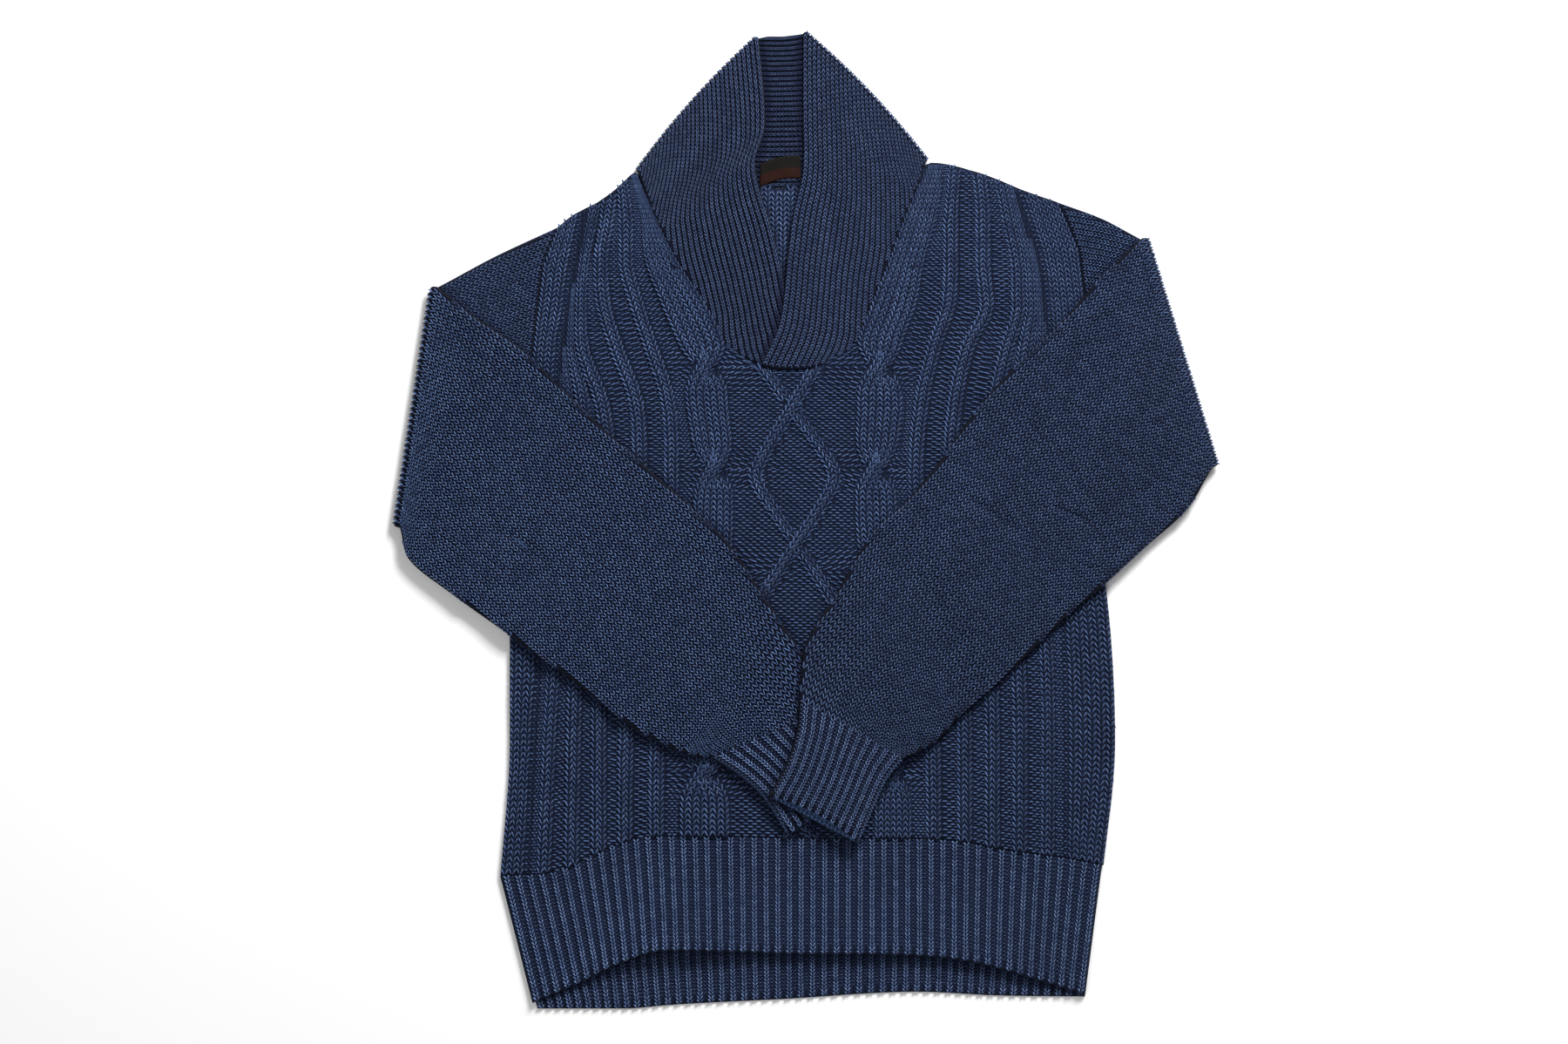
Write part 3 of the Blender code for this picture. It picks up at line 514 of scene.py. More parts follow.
# %% [markdown]
# A stitch needs a frame: where it sits, which way its column runs and which way is out. All three come
# from the surface itself. The helper asks the surface for its points a little further along the column
# and a little to the side, and the differences give the frame.

# %% From places on a surface to a mesh of stitches
NEAR = 0.8              # millimetres to each side for a difference
UNEVEN = 0.022          # how far a stitch strays, as a share of its size
chance = np.random.default_rng(5)


class Stitches:
    """Collects the stitches of one piece: middle, column direction, side direction, kind and painted shade."""

    def __init__(self):
        self.rows = []

    def add(self, surface, at, forward, sideways, height, width, purl, keep, shade):
        """surface maps (N, 2) places to points, forward and sideways are small steps there."""
        at = np.asarray(at, float)[keep]
        if not len(at):
            return
        forward, sideways = (np.broadcast_to(step, (len(keep), 2))[keep] for step in (forward, sideways))
        height, width, shade = (np.broadcast_to(part, len(keep))[keep] for part in (height, width, shade))
        along = surface(at + forward * NEAR) - surface(at - forward * NEAR)
        aside = surface(at + sideways * NEAR) - surface(at - sideways * NEAR)
        stretch = np.linalg.norm(along, axis=1) / (2 * NEAR)
        out = np.cross(aside, along)
        lengths = np.linalg.norm(aside, axis=1) * np.linalg.norm(along, axis=1)
        width = width * np.linalg.norm(out, axis=1) / (lengths + 1e-9)
        out /= np.linalg.norm(out, axis=1)[:, None] + 1e-9
        along = along / (np.linalg.norm(along, axis=1)[:, None] + 1e-9)
        if out[:, 2].mean() < 0:
            out = -out
        size = np.stack([width, height * stretch, np.minimum(width, height * 1.5)], axis=1)
        stray = chance.normal(0.0, UNEVEN, size=(3, len(at)))
        side = aside / (np.linalg.norm(aside, axis=1)[:, None] + 1e-9)
        astray = side * (stray[0] * width)[:, None] + along * (stray[1] * height)[:, None]
        middle = surface(at) + astray
        size *= 1 + stray[2][:, None]
        self.rows.append((middle, along, out, size, np.full(len(at), purl), shade))

    def make(self, name, tree, slot, **inputs):
        middle, along, out, size, purl, shade = (np.concatenate(part) for part in zip(*self.rows))
        mesh = bpy.data.meshes.new(name + "_points")
        mesh.from_pydata((middle * MM).tolist(), [], [])
        for label, values in (("along", along), ("out", out), ("size", size * MM)):
            mesh.attributes.new(label, "FLOAT_VECTOR", "POINT").data.foreach_set("vector", values.ravel())
        mesh.attributes.new("purl", "BOOLEAN", "POINT").data.foreach_set("value", purl)
        mesh.attributes.new("shade", "FLOAT", "POINT").data.foreach_set("value", shade)
        piece = added(name, mesh)
        modifier = piece.modifiers.new("stitches", "NODES")
        modifier.node_group = tree
        for item in tree.interface.items_tree:
            if item.in_out == "INPUT" and item.name in inputs:
                modifier[item.identifier] = inputs[item.name]
        ready = piece.evaluated_get(bpy.context.evaluated_depsgraph_get())
        real = bpy.data.meshes.new_from_object(ready)
        piece.modifiers.clear()
        piece.data = real
        real.name = name
        for label in ("along", "out", "size", "purl"):
            if label in real.attributes:
                real.attributes.remove(real.attributes[label])
        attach(piece, "root")
        triangles = sum(len(polygon.vertices) - 2 for polygon in real.polygons)
        print(f"{name}: {len(middle)} stitches, {triangles} triangles")
        return piece


# %% [markdown]
# ## A closed wall of cloth
#
# Every cloth piece is a grid of outer points and a grid of inner points, joined at the rims. The
# inner face takes only every few columns, since nothing is seen in there. A ring, such as a sleeve,
# joins its last column to its first.

# %% The wall of cloth
def cloth_wall(name, outer, inner, knit, material, ring=False, present=None, every=4, under=0.0,
               under_inside=0.0):
    """outer and inner are (rows, columns, 3) grids, and knit gives stitch counts for the UV map.

    under and under_inside tell how much painted shade darkens the two faces, where stitches or other
    pieces cover them.
    """
    rows, columns = outer.shape[:2]
    cells = columns if ring else columns - 1
    if present is None:
        present = np.ones((rows - 1, cells), bool)
    shown = np.zeros((rows + 1, cells + 2), bool)
    shown[1:-1, 1:-1] = present
    if ring:
        shown[1:-1, 0] = present[:, -1]
        shown[1:-1, -1] = present[:, 0]
    points = np.concatenate([outer.reshape(-1, 3), inner.reshape(-1, 3)])
    maps = np.concatenate([knit.reshape(-1, 2)] * 2)
    base = rows * columns

    def at(r, c, layer):
        return layer * base + r * columns + c % columns

    faces = []
    corners = []

    def face(entries):
        """entries are (row, column, layer), with the column not wrapped yet."""
        faces.append([at(*entry) for entry in entries])
        for r, c, _ in entries:
            u, v = knit[r, c % columns]
            wrap = knit[r, -1, 0] + knit[r, 1, 0] - knit[r, 0, 0] if c >= columns else 0.0
            corners.append((u + wrap, v))

    stops = list(range(0, cells, every)) + [cells]
    for r in range(rows - 1):
        for c in range(cells):
            if present[r, c]:
                face([(r, c, 0), (r, c + 1, 0), (r + 1, c + 1, 0), (r + 1, c, 0)])
        for a, b in zip(stops, stops[1:]):
            whole = present[r, a:b]
            if whole.all():
                low_rim = not shown[r, a + 1:b + 1].all()
                high_rim = not shown[r + 2, a + 1:b + 1].all()
                low = [(r, c, 1) for c in (range(a, b + 1) if low_rim else (a, b))]
                high = [(r + 1, c, 1) for c in (range(a, b + 1) if high_rim else (a, b))]
                face((low + high[::-1])[::-1])
            elif whole.any():
                for c in np.flatnonzero(whole) + a:
                    face([(r + 1, c, 1), (r + 1, c + 1, 1), (r, c + 1, 1), (r, c, 1)])

    def rim(before, after, a, b):
        """Side face from place a to place b, where the cloth ends or begins."""
        if after and not before:
            face([(*a, 1), (*b, 1), (*b, 0), (*a, 0)])
        elif before and not after:
            face([(*a, 0), (*b, 0), (*b, 1), (*a, 1)])

    for r in range(rows):
        for c in range(cells):
            rim(shown[r, c + 1], shown[r + 1, c + 1], (r, c), (r, c + 1))
    for r in range(rows - 1):
        for c in range(cells + 1):
            rim(shown[r + 1, c + 1], shown[r + 1, c], (r, c), (r + 1, c))
    used = np.unique(np.concatenate([np.array(loop) for loop in faces]))
    renumber = np.full(len(points), -1)
    renumber[used] = np.arange(len(used))
    mesh = bpy.data.meshes.new(name)
    mesh.from_pydata((points[used] * MM).tolist(), [], [renumber[loop].tolist() for loop in faces])
    mesh.uv_layers.new(name="knit").data.foreach_set("uv", np.array(corners).ravel())
    # Painted shade of each point, from the under values of the two faces.
    painted_under_shade = np.concatenate([np.broadcast_to(layer, (rows, columns)).ravel() for layer in (under, under_inside)])
    mesh.attributes.new("under", "FLOAT", "POINT").data.foreach_set("value", painted_under_shade[used])
    mesh.polygons.foreach_set("use_smooth", [True] * len(mesh.polygons))
    mesh.materials.append(material)
    shell = bmesh.new()
    shell.from_mesh(mesh)
    bmesh.ops.recalc_face_normals(shell, faces=shell.faces)
    shell.to_mesh(mesh)
    shell.free()
    mesh.calc_loop_triangles()
    piece = added(name, mesh)
    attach(piece, "root")
    print(f"{name}: {len(mesh.loop_triangles)} triangles")
    return piece


FAR = 1e3               # farther than any gap reaches
HIDDEN = 7.0            # stitches this far inside a covering outline are left out


def edge_distances(points, polygon):
    """Distance of every point from the nearest edge of a polygon, seen from above."""
    x, y = points[:, :1], points[:, 1:2]
    ax, ay = polygon[:, 0], polygon[:, 1]
    ex, ey = np.roll(ax, -1) - ax, np.roll(ay, -1) - ay
    t = np.clip(((x - ax) * ex + (y - ay) * ey) / (ex**2 + ey**2 + 1e-9), 0, 1)
    return np.hypot(x - ax - t * ex, y - ay - t * ey).min(axis=1)


def covered(points, polygons, margin):
    """True where a point lies under one of the polygons, at least margin inside its edge."""
    hidden = np.zeros(len(points), bool)
    x, y = points[:, :1], points[:, 1:2]
    for polygon in polygons:
        ax, ay = polygon[:, 0], polygon[:, 1]
        bx, by = np.roll(ax, -1), np.roll(ay, -1)
        crossing = ((ay > y) != (by > y)) & (x < (bx - ax) * (y - ay) / (by - ay + 1e-9) + ax)
        hidden |= (crossing.sum(axis=1) % 2 == 1) & (edge_distances(points, polygon) > margin)
    return hidden


def shaded(points, polygons, reach=6.0, most=0.62):
    """Painted shadow: darkness of a stitch in the narrow gap beside a piece that lies over it."""
    nearest = np.full(len(points), FAR)
    for polygon in polygons:
        nearest = np.minimum(nearest, edge_distances(points, polygon))
    return most * np.clip(1 - nearest / reach, 0, 1)


def creased(points, table):
    """Height of listed creases: from (x, y), to (x, y), half width and height, soft at both ends."""
    total = np.zeros(len(points))
    for x0, y0, x1, y1, half, height in table:
        ex, ey = x1 - x0, y1 - y0
        t = np.clip(((points[:, 0] - x0) * ex + (points[:, 1] - y0) * ey) / (ex**2 + ey**2), 0, 1)
        away = np.hypot(points[:, 0] - x0 - t * ex, points[:, 1] - y0 - t * ey)
        total += height * np.sqrt(np.sin(np.clip(t, 0.02, 0.98) * pi)) * np.exp(-(away / half) ** 2)
    return total


# %% [markdown]
# ## Surfaces through sections
#
# A sleeve or a collar is drawn by its sections, one after another along the piece. The helper fits a
# smooth surface through them, so that any number of rows can be asked for later. A place on it is the
# run along the piece and the number of a column, both with fractions.

# %% Surface through sections
def lofted(sections):
    grid = np.array(sections, float)
    step = np.linalg.norm(np.diff(grid, axis=0), axis=2).mean(axis=1)
    run = np.concatenate([[0.0], np.cumsum(step)])
    step = step[:, None, None]
    rise = np.diff(grid, axis=0) / step
    turn = (rise[:-1] * step[:-1] + rise[1:] * step[1:]) / (step[:-1] + step[1:])
    low, high = rise[:-1, :, 2], rise[1:, :, 2]
    least = 3 * np.minimum(np.abs(low), np.abs(high)) * (low * high > 0)
    turn[:, :, 2] = np.clip(turn[:, :, 2], -least, least)       # heights never pass their neighbours
    slope = np.concatenate([rise[:1], turn, rise[-1:]])

    def surface(along, across):
        along = np.clip(along, 0, run[-1])
        across = np.clip(across, 0, grid.shape[1] - 1)
        i = np.clip(np.searchsorted(run, along, side="right") - 1, 0, len(run) - 2)
        c = np.clip(np.floor(across).astype(int), 0, grid.shape[1] - 2)
        f = (across - c)[..., None]
        span = (run[i + 1] - run[i])[..., None]
        t = (along - run[i])[..., None] / span

        def pick(array, row):
            return array[row, c] * (1 - f) + array[row, c + 1] * f

        return cubic(t, span, pick(grid, i), pick(grid, i + 1), pick(slope, i), pick(slope, i + 1))

    return surface, run


# %% [markdown]
# ## Sleeves
#
# Each sleeve is a flattened tube. It leaves the armhole, turns over at a slanting fold and comes back
# across the front. A section of the tube is two flat sides with round edges, and a station says where
# such a section stands. Round the fold the stations turn like the pages of a book.

# %% Stations of the sleeves
LEFT_SLEEVE = (
    (-279, 173, -330, -32, 9.0, 8.8), (-235, 142, -297, -59, 10.2, 9.4),
    (-192, 100, -255, -89, 10.9, 10.6), (-148, 59, -217, -116, 10.9, 10.9),
    (-104, 20, -177, -145, 10.9, 10.9), (-64, -18, -141, -174, 10.9, 10.9),
    (-31, -67, -101, -193, 10.9, 10.9), (1, -115, -90, -196, 10.9, 10.9),
    (25, -152, -77, -197, 11.0, 11.0),
)
LEFT_CUFF = (
    (25, -152, -77, -197, 11.1, 11.1), (38, -175, -53, -213, 11.1, 11.1),
    (49, -196, -34, -231, 11.1, 11.1), (58, -215, -14, -262, 11.1, 11.1),
)
RIGHT_SLEEVE = (
    (252, 208, 320, 10, 9.6, 8.8), (213, 164, 286, -21, 10.7, 9.4),
    (180, 133, 253, -51, 10.9, 10.6), (144, 93, 222, -77, 10.9, 10.9),
    (114, 51, 193, -105, 10.9, 10.9), (85, 16, 163, -134, 10.9, 10.9),
    (56, -11, 132, -161, 11.4, 10.9), (26, -62, 111, -183, 14.2, 11.6),
    (1, -104, 93, -194, 17.2, 14.6), (-4, -148, 82, -198, 17.8, 16.8),
)
RIGHT_CUFF = (
    (-4, -148, 82, -198, 18.0, 17.0), (-6, -173, 69, -215, 18.0, 17.8),
    (-15, -202, 58, -239, 18.0, 18.0), (-30, -229, 45, -269, 18.0, 18.0),
)
LEFT_FOLD = ((-312, 196), (-343, -5))
RIGHT_FOLD = ((287, 237), (346, 46))
LEFT_UPPER_ARM = ((-258, 221), (-292, 20))
RIGHT_UPPER_ARM = ((250, 252), (300, 42))


def fold_frame(line, inset):
    """Ends of a fold's axis and the direction in which the cloth turns over."""
    (x0, y0), (x1, y1) = line
    length = hypot(x1 - x0, y1 - y0)
    side = 1 if x0 > 0 else -1
    across = side if y1 > y0 else -side
    out = (across * (y1 - y0) / length, -across * (x1 - x0) / length)
    ends = [(x - out[0] * inset, y - out[1] * inset) for x, y in line]
    return ends, out


def turned(ends, out, share, depth, angle, radius, axis_z):
    """Point of a folded layer: depth is its distance above the layer's middle before the fold."""
    reach = radius - depth
    x = mix(ends[0][0], ends[1][0], share) + out[0] * reach * np.sin(angle)
    y = mix(ends[0][1], ends[1][1], share) + out[1] * reach * np.sin(angle)
    return x, y, axis_z - reach * np.cos(angle)


def laid(row):
    """Section of a tube that lies turned over: its function of (share, depth), and its width."""
    upper_x, upper_y, lower_x, lower_y, upper_z, lower_z = row

    def place(share, depth):
        return (mix(upper_x, lower_x, share), mix(upper_y, lower_y, share),
                mix(upper_z, lower_z, share) - depth)

    return place, hypot(upper_x - lower_x, upper_y - lower_y)


def shifted(row, neighbour, distance):
    """Section moved along the sleeve, away from its neighbour."""
    dx = (row[0] + row[2] - neighbour[0] - neighbour[2]) / 2
    dy = (row[1] + row[3] - neighbour[1] - neighbour[3]) / 2
    length = hypot(dx, dy)
    dx, dy = dx / length * distance, dy / length * distance
    return (row[0] + dx, row[1] + dy, row[2] + dx, row[3] + dy, row[4], row[5])


def sleeve_stations(side):
    fold = LEFT_FOLD if side == "left" else RIGHT_FOLD
    arm = LEFT_UPPER_ARM if side == "left" else RIGHT_UPPER_ARM
    rows = LEFT_SLEEVE if side == "left" else RIGHT_SLEEVE
    outward = -1 if side == "left" else 1
    ends, out = fold_frame(fold, SLEEVE_FOLD + SLEEVE_HALF)
    axis_z = SLEEVE_HALF + SLEEVE_FOLD
    knots = LEFT_ARMHOLE if side == "left" else RIGHT_ARMHOLE

    def armhole(share, depth):
        y = mix(knots[0][0], UNDERARM, share)
        return straight(knots, y) + outward * SEAM_GAP, y, SLEEVE_HALF + depth

    def flat(share, depth):
        return (mix(arm[0][0], arm[1][0], share), mix(arm[0][1], arm[1][1], share),
                SLEEVE_HALF + depth)

    def bend(angle):
        return lambda share, depth: turned(ends, out, share, depth, angle, SLEEVE_FOLD, axis_z)

    width = hypot(ends[0][0] - ends[1][0], ends[0][1] - ends[1][1])
    arm_width = hypot(arm[0][0] - arm[1][0], arm[0][1] - arm[1][1])
    stations = [(armhole, knots[0][0] - UNDERARM), (flat, arm_width)]
    stations += [(bend(pi * k / FOLD_STEPS), width) for k in range(FOLD_STEPS + 1)]
    stations += [laid(row) for row in rows[:-1]]
    stations += [laid(shifted(rows[-1], rows[-2], -SEAM_GAP / 2))]
    return stations


print("sleeve stations:", len(sleeve_stations("left")), len(sleeve_stations("right")))

# %% [markdown]
# The place round a tube is counted by its sides: 0 to 1 is the side that faces up before the fold, 2 to 3
# the side that faces up after it, and the round edges lie between. A stitch column keeps its distance
# from the middle of a side, so the helper turns that distance into such a count.

# %% Round a flattened tube
TURN_OVER = 2                                   # start of the side that faces up after the fold
AROUND = np.concatenate([np.linspace(0, 1, 25)[:-1], np.linspace(1, 2, 7)[:-1],
                         np.linspace(2, 3, 49)[:-1], np.linspace(3, 4, 7)])


def section(width, half, inset=0.0):
    """Distance from the upper edge and depth, at every place of AROUND."""
    inner = width - 2 * inset
    flat = inner - 2 * half
    t = AROUND
    lower = pi * (t - 1)
    upper = pi * (t - 3)
    distance = np.where(t < 1, half + t * flat, np.where(t < 2, inner - half + half * np.sin(lower),
                        np.where(t < 3, inner - half - (t - 2) * flat, half - half * np.sin(upper))))
    depth = np.where(t < 1, half, np.where(t < 2, half * np.cos(lower),
                     np.where(t < 3, -half, -half * np.cos(upper))))
    return inset + distance, depth


def tube_surface(stations, half, inset=0.0):
    sections = []
    for place, width in stations:
        distance, depth = section(width, half, inset)
        x, y, z = place(distance / width, depth)
        sections.append(np.stack([x, y, z], axis=1))
    return lofted(sections)


def around_from(distance, flat, half, side):
    """Count round the tube at a distance from the middle of a side, towards its lower edge."""
    past = np.abs(distance) - flat / 2
    bend = np.maximum(past, 0.0) / (pi * half)
    on_flat = np.clip(distance, -flat / 2, flat / 2) / flat
    if side == TURN_OVER:
        t = 2.5 - on_flat + np.where(distance < 0, bend, -bend)
    else:
        t = 0.5 + on_flat + np.where(distance < 0, -bend, bend)
    return np.interp(t % 4, AROUND, np.arange(len(AROUND)))


print("columns round a sleeve:", len(AROUND) - 1)

# %% The sleeves and their stitches
SLEEVE_ROW = 4.0
SLEEVE_WALE = 5.1
SLEEVE_CREASES = {
    "left": ((-320, 150, -250, 60, 16, 1.6), (-300, 20, -190, -60, 18, -1.4), (-150, 20, -90, -90, 14, 1.4),
             (-255, 150, -215, 125, 7, 1.6), (-160, 70, -215, 0, 10, -1.2), (-254, -5, -217, -31, 5, -1.4)),
    "right": ((300, 170, 250, 60, 16, 1.6), (290, 30, 200, -50, 18, -1.4), (150, 20, 90, -70, 14, 1.4),
              (265, 190, 225, 160, 7, 1.6), (180, 90, 235, 10, 10, -1.2), (133, 22, 182, -10, 4, -1.6),
              (209, 13, 238, -2, 3, -1.4)),
}


def make_sleeve(side, cover):
    stations = sleeve_stations(side)
    outer, run = tube_surface(stations, SLEEVE_HALF)
    inner, inner_run = tube_surface(stations, SLEEVE_HALF - SLEEVE_WALL, SLEEVE_WALL)
    widths = [width for _, width in stations]
    creases = SLEEVE_CREASES[side]
    name = "sleeve_" + side + "_cloth"

    def flat_at(along):
        return np.interp(along, run, widths) - 2 * SLEEVE_HALF

    def dressed(along, across):
        points = outer(along, across)
        out = points - inner(np.interp(along, run, inner_run), across)
        up = np.clip(out[..., 2] / SLEEVE_WALL, 0, 1)
        flat_points = points.reshape(-1, 3)
        points[..., 2] += creased(flat_points, creases).reshape(points.shape[:-1]) * up
        return points

    rows = np.unique(np.concatenate([np.arange(0, run[-1], 5.0), run]))
    rows = rows[np.concatenate([[True], np.diff(rows) > 1.0])]
    rows[-1] = run[-1]
    columns = np.arange(len(AROUND) - 1, dtype=float)
    along, across = np.meshgrid(rows, columns, indexing="ij")
    grid = dressed(along, across)
    inside = inner(np.interp(along, run, inner_run), across)
    knit = np.stack([AROUND[None, :-1] * flat_at(along) / SLEEVE_WALE * 0.97, -along / SLEEVE_ROW], axis=2)
    round_place = AROUND[None, :-1]
    # Painted shade: the wall is painted dark where stitches lie on it, with the rounded edges beside them.
    under = np.where(along > run[2], round_place > 1.6, (round_place < 1.2) | (round_place > 3.8))
    shell = cloth_wall(name, grid, inside, knit, body_cloth, ring=True, every=4, under=under)

    stitches = Stitches()
    flank = 0.5 * SLEEVE_HALF
    for over, start, end in ((0, 3.0, run[2] + 2), (TURN_OVER, run[2] + 3.0, run[-1] - 1.0)):
        levels = np.arange(end, start, -SLEEVE_ROW)
        half_count = int(max(widths) / 2 / SLEEVE_WALE) + 2
        for number in range(-half_count, half_count + 1):
            distance = np.full(len(levels), number * SLEEVE_WALE)
            keep = np.abs(distance) < flat_at(levels) / 2 + (flank if over else 0.5)

            def surface(at):
                spot = around_from(at[:, 1], flat_at(at[:, 0]), SLEEVE_HALF, over)
                return dressed(at[:, 0], spot)

            at = np.stack([levels, distance], axis=1)
            spots = surface(at)
            polygons = list(cover)
            if not over:
                polygons.append(own_cover[side])
            keep &= ~covered(spots, polygons, HIDDEN) & (spots[:, 2] > 2.8)
            # Painted shadow beside a piece that lies over the sleeve, and painted shade on the stitches round the
            # tube's edges.
            dark = shaded(spots, polygons) + 0.5 * (np.abs(distance) > flat_at(levels) / 2)
            stitches.add(surface, at, (-1.0, 0.0), (0.0, 1.0), SLEEVE_ROW, SLEEVE_WALE, False, keep, shade=dark)
    knots = stitches.make("sleeve_" + side + "_stitches", stitches_of_body, "indigo_knit",
                          **{"Leg Slant": radians(22.0), "Leg Width": 0.2, "Leg Height": 0.3, "Leg Length": 0.66,
                             "Leg Spread": 0.2})
    return shell, knots, run, widths


def tube_cover(stations, first, half):
    """Outline seen from above of the part of a tube that lies turned over."""
    surface, run = tube_surface(stations, half)
    along = np.linspace(run[first], run[-1], 24)
    upper = np.interp(3.5, AROUND, np.arange(len(AROUND)))
    lower = np.interp(1.5, AROUND, np.arange(len(AROUND)))
    edge = surface(along, np.full(24, upper))[:, :2]
    other = surface(along, np.full(24, lower))[:, :2]
    return np.concatenate([edge, other[::-1]])


own_cover = {side: tube_cover(sleeve_stations(side), 2 + FOLD_STEPS // 2 + 1, SLEEVE_HALF)
             for side in ("left", "right")}
cuff_cover = {"left": tube_cover([laid(row) for row in LEFT_CUFF], 0, CUFF_HALF),
              "right": tube_cover([laid(row) for row in RIGHT_CUFF], 0, CUFF_HALF)}
right_over = [own_cover["right"], cuff_cover["right"]]
all_over = [own_cover["left"], cuff_cover["left"]] + right_over

left_sleeve, left_sleeve_stitches, left_run, left_widths = make_sleeve("left", right_over)
right_sleeve, right_sleeve_stitches, right_run, right_widths = make_sleeve("right", [])

# %% [markdown]
# ## Cuffs
#
# A cuff is a shorter tube knitted in rib: a column of knit stitches stands up, and the purl stitches
# beside it sink in. The side that is seen ends a little before the other one, so that a slit shows.

# %% The cuffs and their stitches
CUFF_ROW = 3.1
CUFF_RIB_RISE = 1.3
CUFF_SHORT = {"left": 1.0, "right": 6.0}


def make_cuff(side, cover):
    rows = LEFT_CUFF if side == "left" else RIGHT_CUFF
    seam = shifted(rows[0], rows[1], -SEAM_GAP / 2)
    stations = [laid(row) for row in (seam,) + rows[1:]]
    outer, run = tube_surface(stations, CUFF_HALF)
    inner, inner_run = tube_surface(stations, CUFF_HALF - SLEEVE_WALL, SLEEVE_WALL)
    widths = [width for _, width in stations]
    columns = np.arange(len(AROUND), dtype=float)

    def flat_at(along):
        return np.interp(along, run, widths) - 2 * CUFF_HALF

    def drawn_back(along, across):
        """The seen side is a little shorter at the open end."""
        seen = np.clip(np.interp(across, columns, AROUND) - 2, 0, 1)
        return along - CUFF_SHORT[side] * (along / run[-1]) ** 2 * np.sin(pi * seen) ** 0.5

    def dressed(along, across):
        back = drawn_back(along, across)
        points = outer(back, across)
        out = points - inner(np.interp(back, run, inner_run), across)
        out /= np.linalg.norm(out, axis=-1)[..., None] + 1e-9
        place = np.interp(across, columns, AROUND)
        on_flat = np.where(place < 1, place, np.where((place > 2) & (place < 3), place - 2, 0.0))
        ridge = CUFF_RIB_RISE * np.sin(pi * on_flat * CUFF_RIBS) ** 2 - SUNK
        rolled = 0.7 * np.exp(-((run[-1] - along) / 2.5) ** 2)
        inside = (place > 2.02) & (place < 2.98) | (place > 0.02) & (place < 0.98)
        return points + out * ((ridge + rolled) * inside)[..., None]

    levels = np.linspace(0, run[-1], 26)
    along, across = np.meshgrid(levels, columns[:-1], indexing="ij")
    grid = dressed(along, across)
    lining = inner(np.interp(drawn_back(along, across), run, inner_run), across)
    knit = np.stack([AROUND[None, :-1] * CUFF_RIBS + 0 * along, -along / CUFF_ROW], axis=2)
    # Painted shade: the wall is painted dark on the side where the stitches lie.
    shell = cloth_wall(f"cuff_{side}_cloth", grid, lining, knit, rib_cloth, ring=True, every=2,
                       under=AROUND[None, :-1] > 1.9)

    stitches = Stitches()
    levels = np.arange(run[-1] - 1.0, 1.0, -CUFF_ROW)
    for number in range(2 * CUFF_RIBS + 1):
        purl = number % 2 == 0
        share = number / (2 * CUFF_RIBS) - 0.5

        def surface(at):
            flat = flat_at(at[:, 0])
            return dressed(at[:, 0], around_from(at[:, 1] * flat, flat, CUFF_HALF, TURN_OVER))

        pitch = flat_at(levels) / CUFF_RIBS
        at = np.stack([levels, np.full(len(levels), share)], axis=1)
        sideways = np.stack([np.zeros(len(levels)), 1.0 / flat_at(levels)], axis=1)
        keep = ~covered(surface(at), cover, 6.0) & ~(purl & (levels > run[-1] - 5))
        # Painted shadow beside a piece that lies over the cuff, and painted shade on the sunken purl stitches.
        dark = shaded(surface(at), cover) + (0.55 if purl else 0.0)
        stitches.add(surface, at, (-1.0, 0.0), sideways, CUFF_ROW, pitch * (0.46 if purl else 0.52), purl, keep,
                     shade=np.minimum(dark, 0.9))
    knots = stitches.make(f"cuff_{side}_stitches", stitches_of_rib, "indigo_rib")
    return shell, knots


RIB_LOW = linear((62, 84, 130))
RIB_HIGH = linear((124, 151, 202))
rib_yarn = yarn_material("indigo_rib_yarn", RIB_LOW, RIB_HIGH, 0.12)
rib_cloth = cloth_material("indigo_rib_cloth")
stitches_of_rib = stitch_tree(rib_yarn)
left_cuff, left_cuff_stitches = make_cuff("left", right_over)
right_cuff, right_cuff_stitches = make_cuff("right", [])

# %% [markdown]
# ## The shawl collar
#
# The collar is one ribbed band. Its stand lies flat above the back, both ends turn over at slanting
# folds and come down the neckline, and the right end laps the left. The ribs run along the band from
# its free edge, and the neckline seam cuts across them, so each station also gives a count of ribs.

# %% Stations of the collar
LEFT_WING = (
    (-131, 266.6, -33, 330, 0.0, 1.0), (-125, 254.8, -41, 301, 0.0, 1.0),
    (-119, 243.0, -38, 279, 0.0, 1.0), (-107, 219.4, -28, 247, 0.0, 1.0),
    (-92, 195.8, -19, 210, 0.0, 1.0), (-78, 172.1, -14, 184, 0.0, 1.0),
    (-66, 148.5, -6, 158, 0.0, 1.0), (-36, 129.0, 0, 129, 0.0, 1.0),
)
LEFT_WING_RIBS = (24, 21.8, 19.6, 17.5, 15.7, 13.8, 12, 7.5)
RIGHT_WING = (
    (92, 273.9, -1, 340, 0.3, 0.8), (83, 248.8, -1, 293, 0.9, 0.8),
    (73, 223.8, -9, 256, 1.6, 0.8), (64, 198.7, -14, 218, 3.2, 0.9),
    (53, 173.6, -17, 187, 3.2, 0.8), (44, 148.5, -22, 160, 3.0, 0.6),
    (20, 134.0, -36, 129, 2.5, 0.28),
)
RIGHT_WING_RIBS = (23.3, 20.3, 18, 16.8, 15, 13.5, 10.6)
BAND_RIBS = 30
LEFT_COLLAR_FOLD = ((-143, 290), (-40, 405))
RIGHT_COLLAR_FOLD = ((106, 299), (1, 409))
STAND = ((-81, -30, 405), (-19, -19, 405), (43, -9, 406))
COLLAR_COLUMNS = 4 * BAND_RIBS
SHARES = np.linspace(0, 1, COLLAR_COLUMNS + 1)


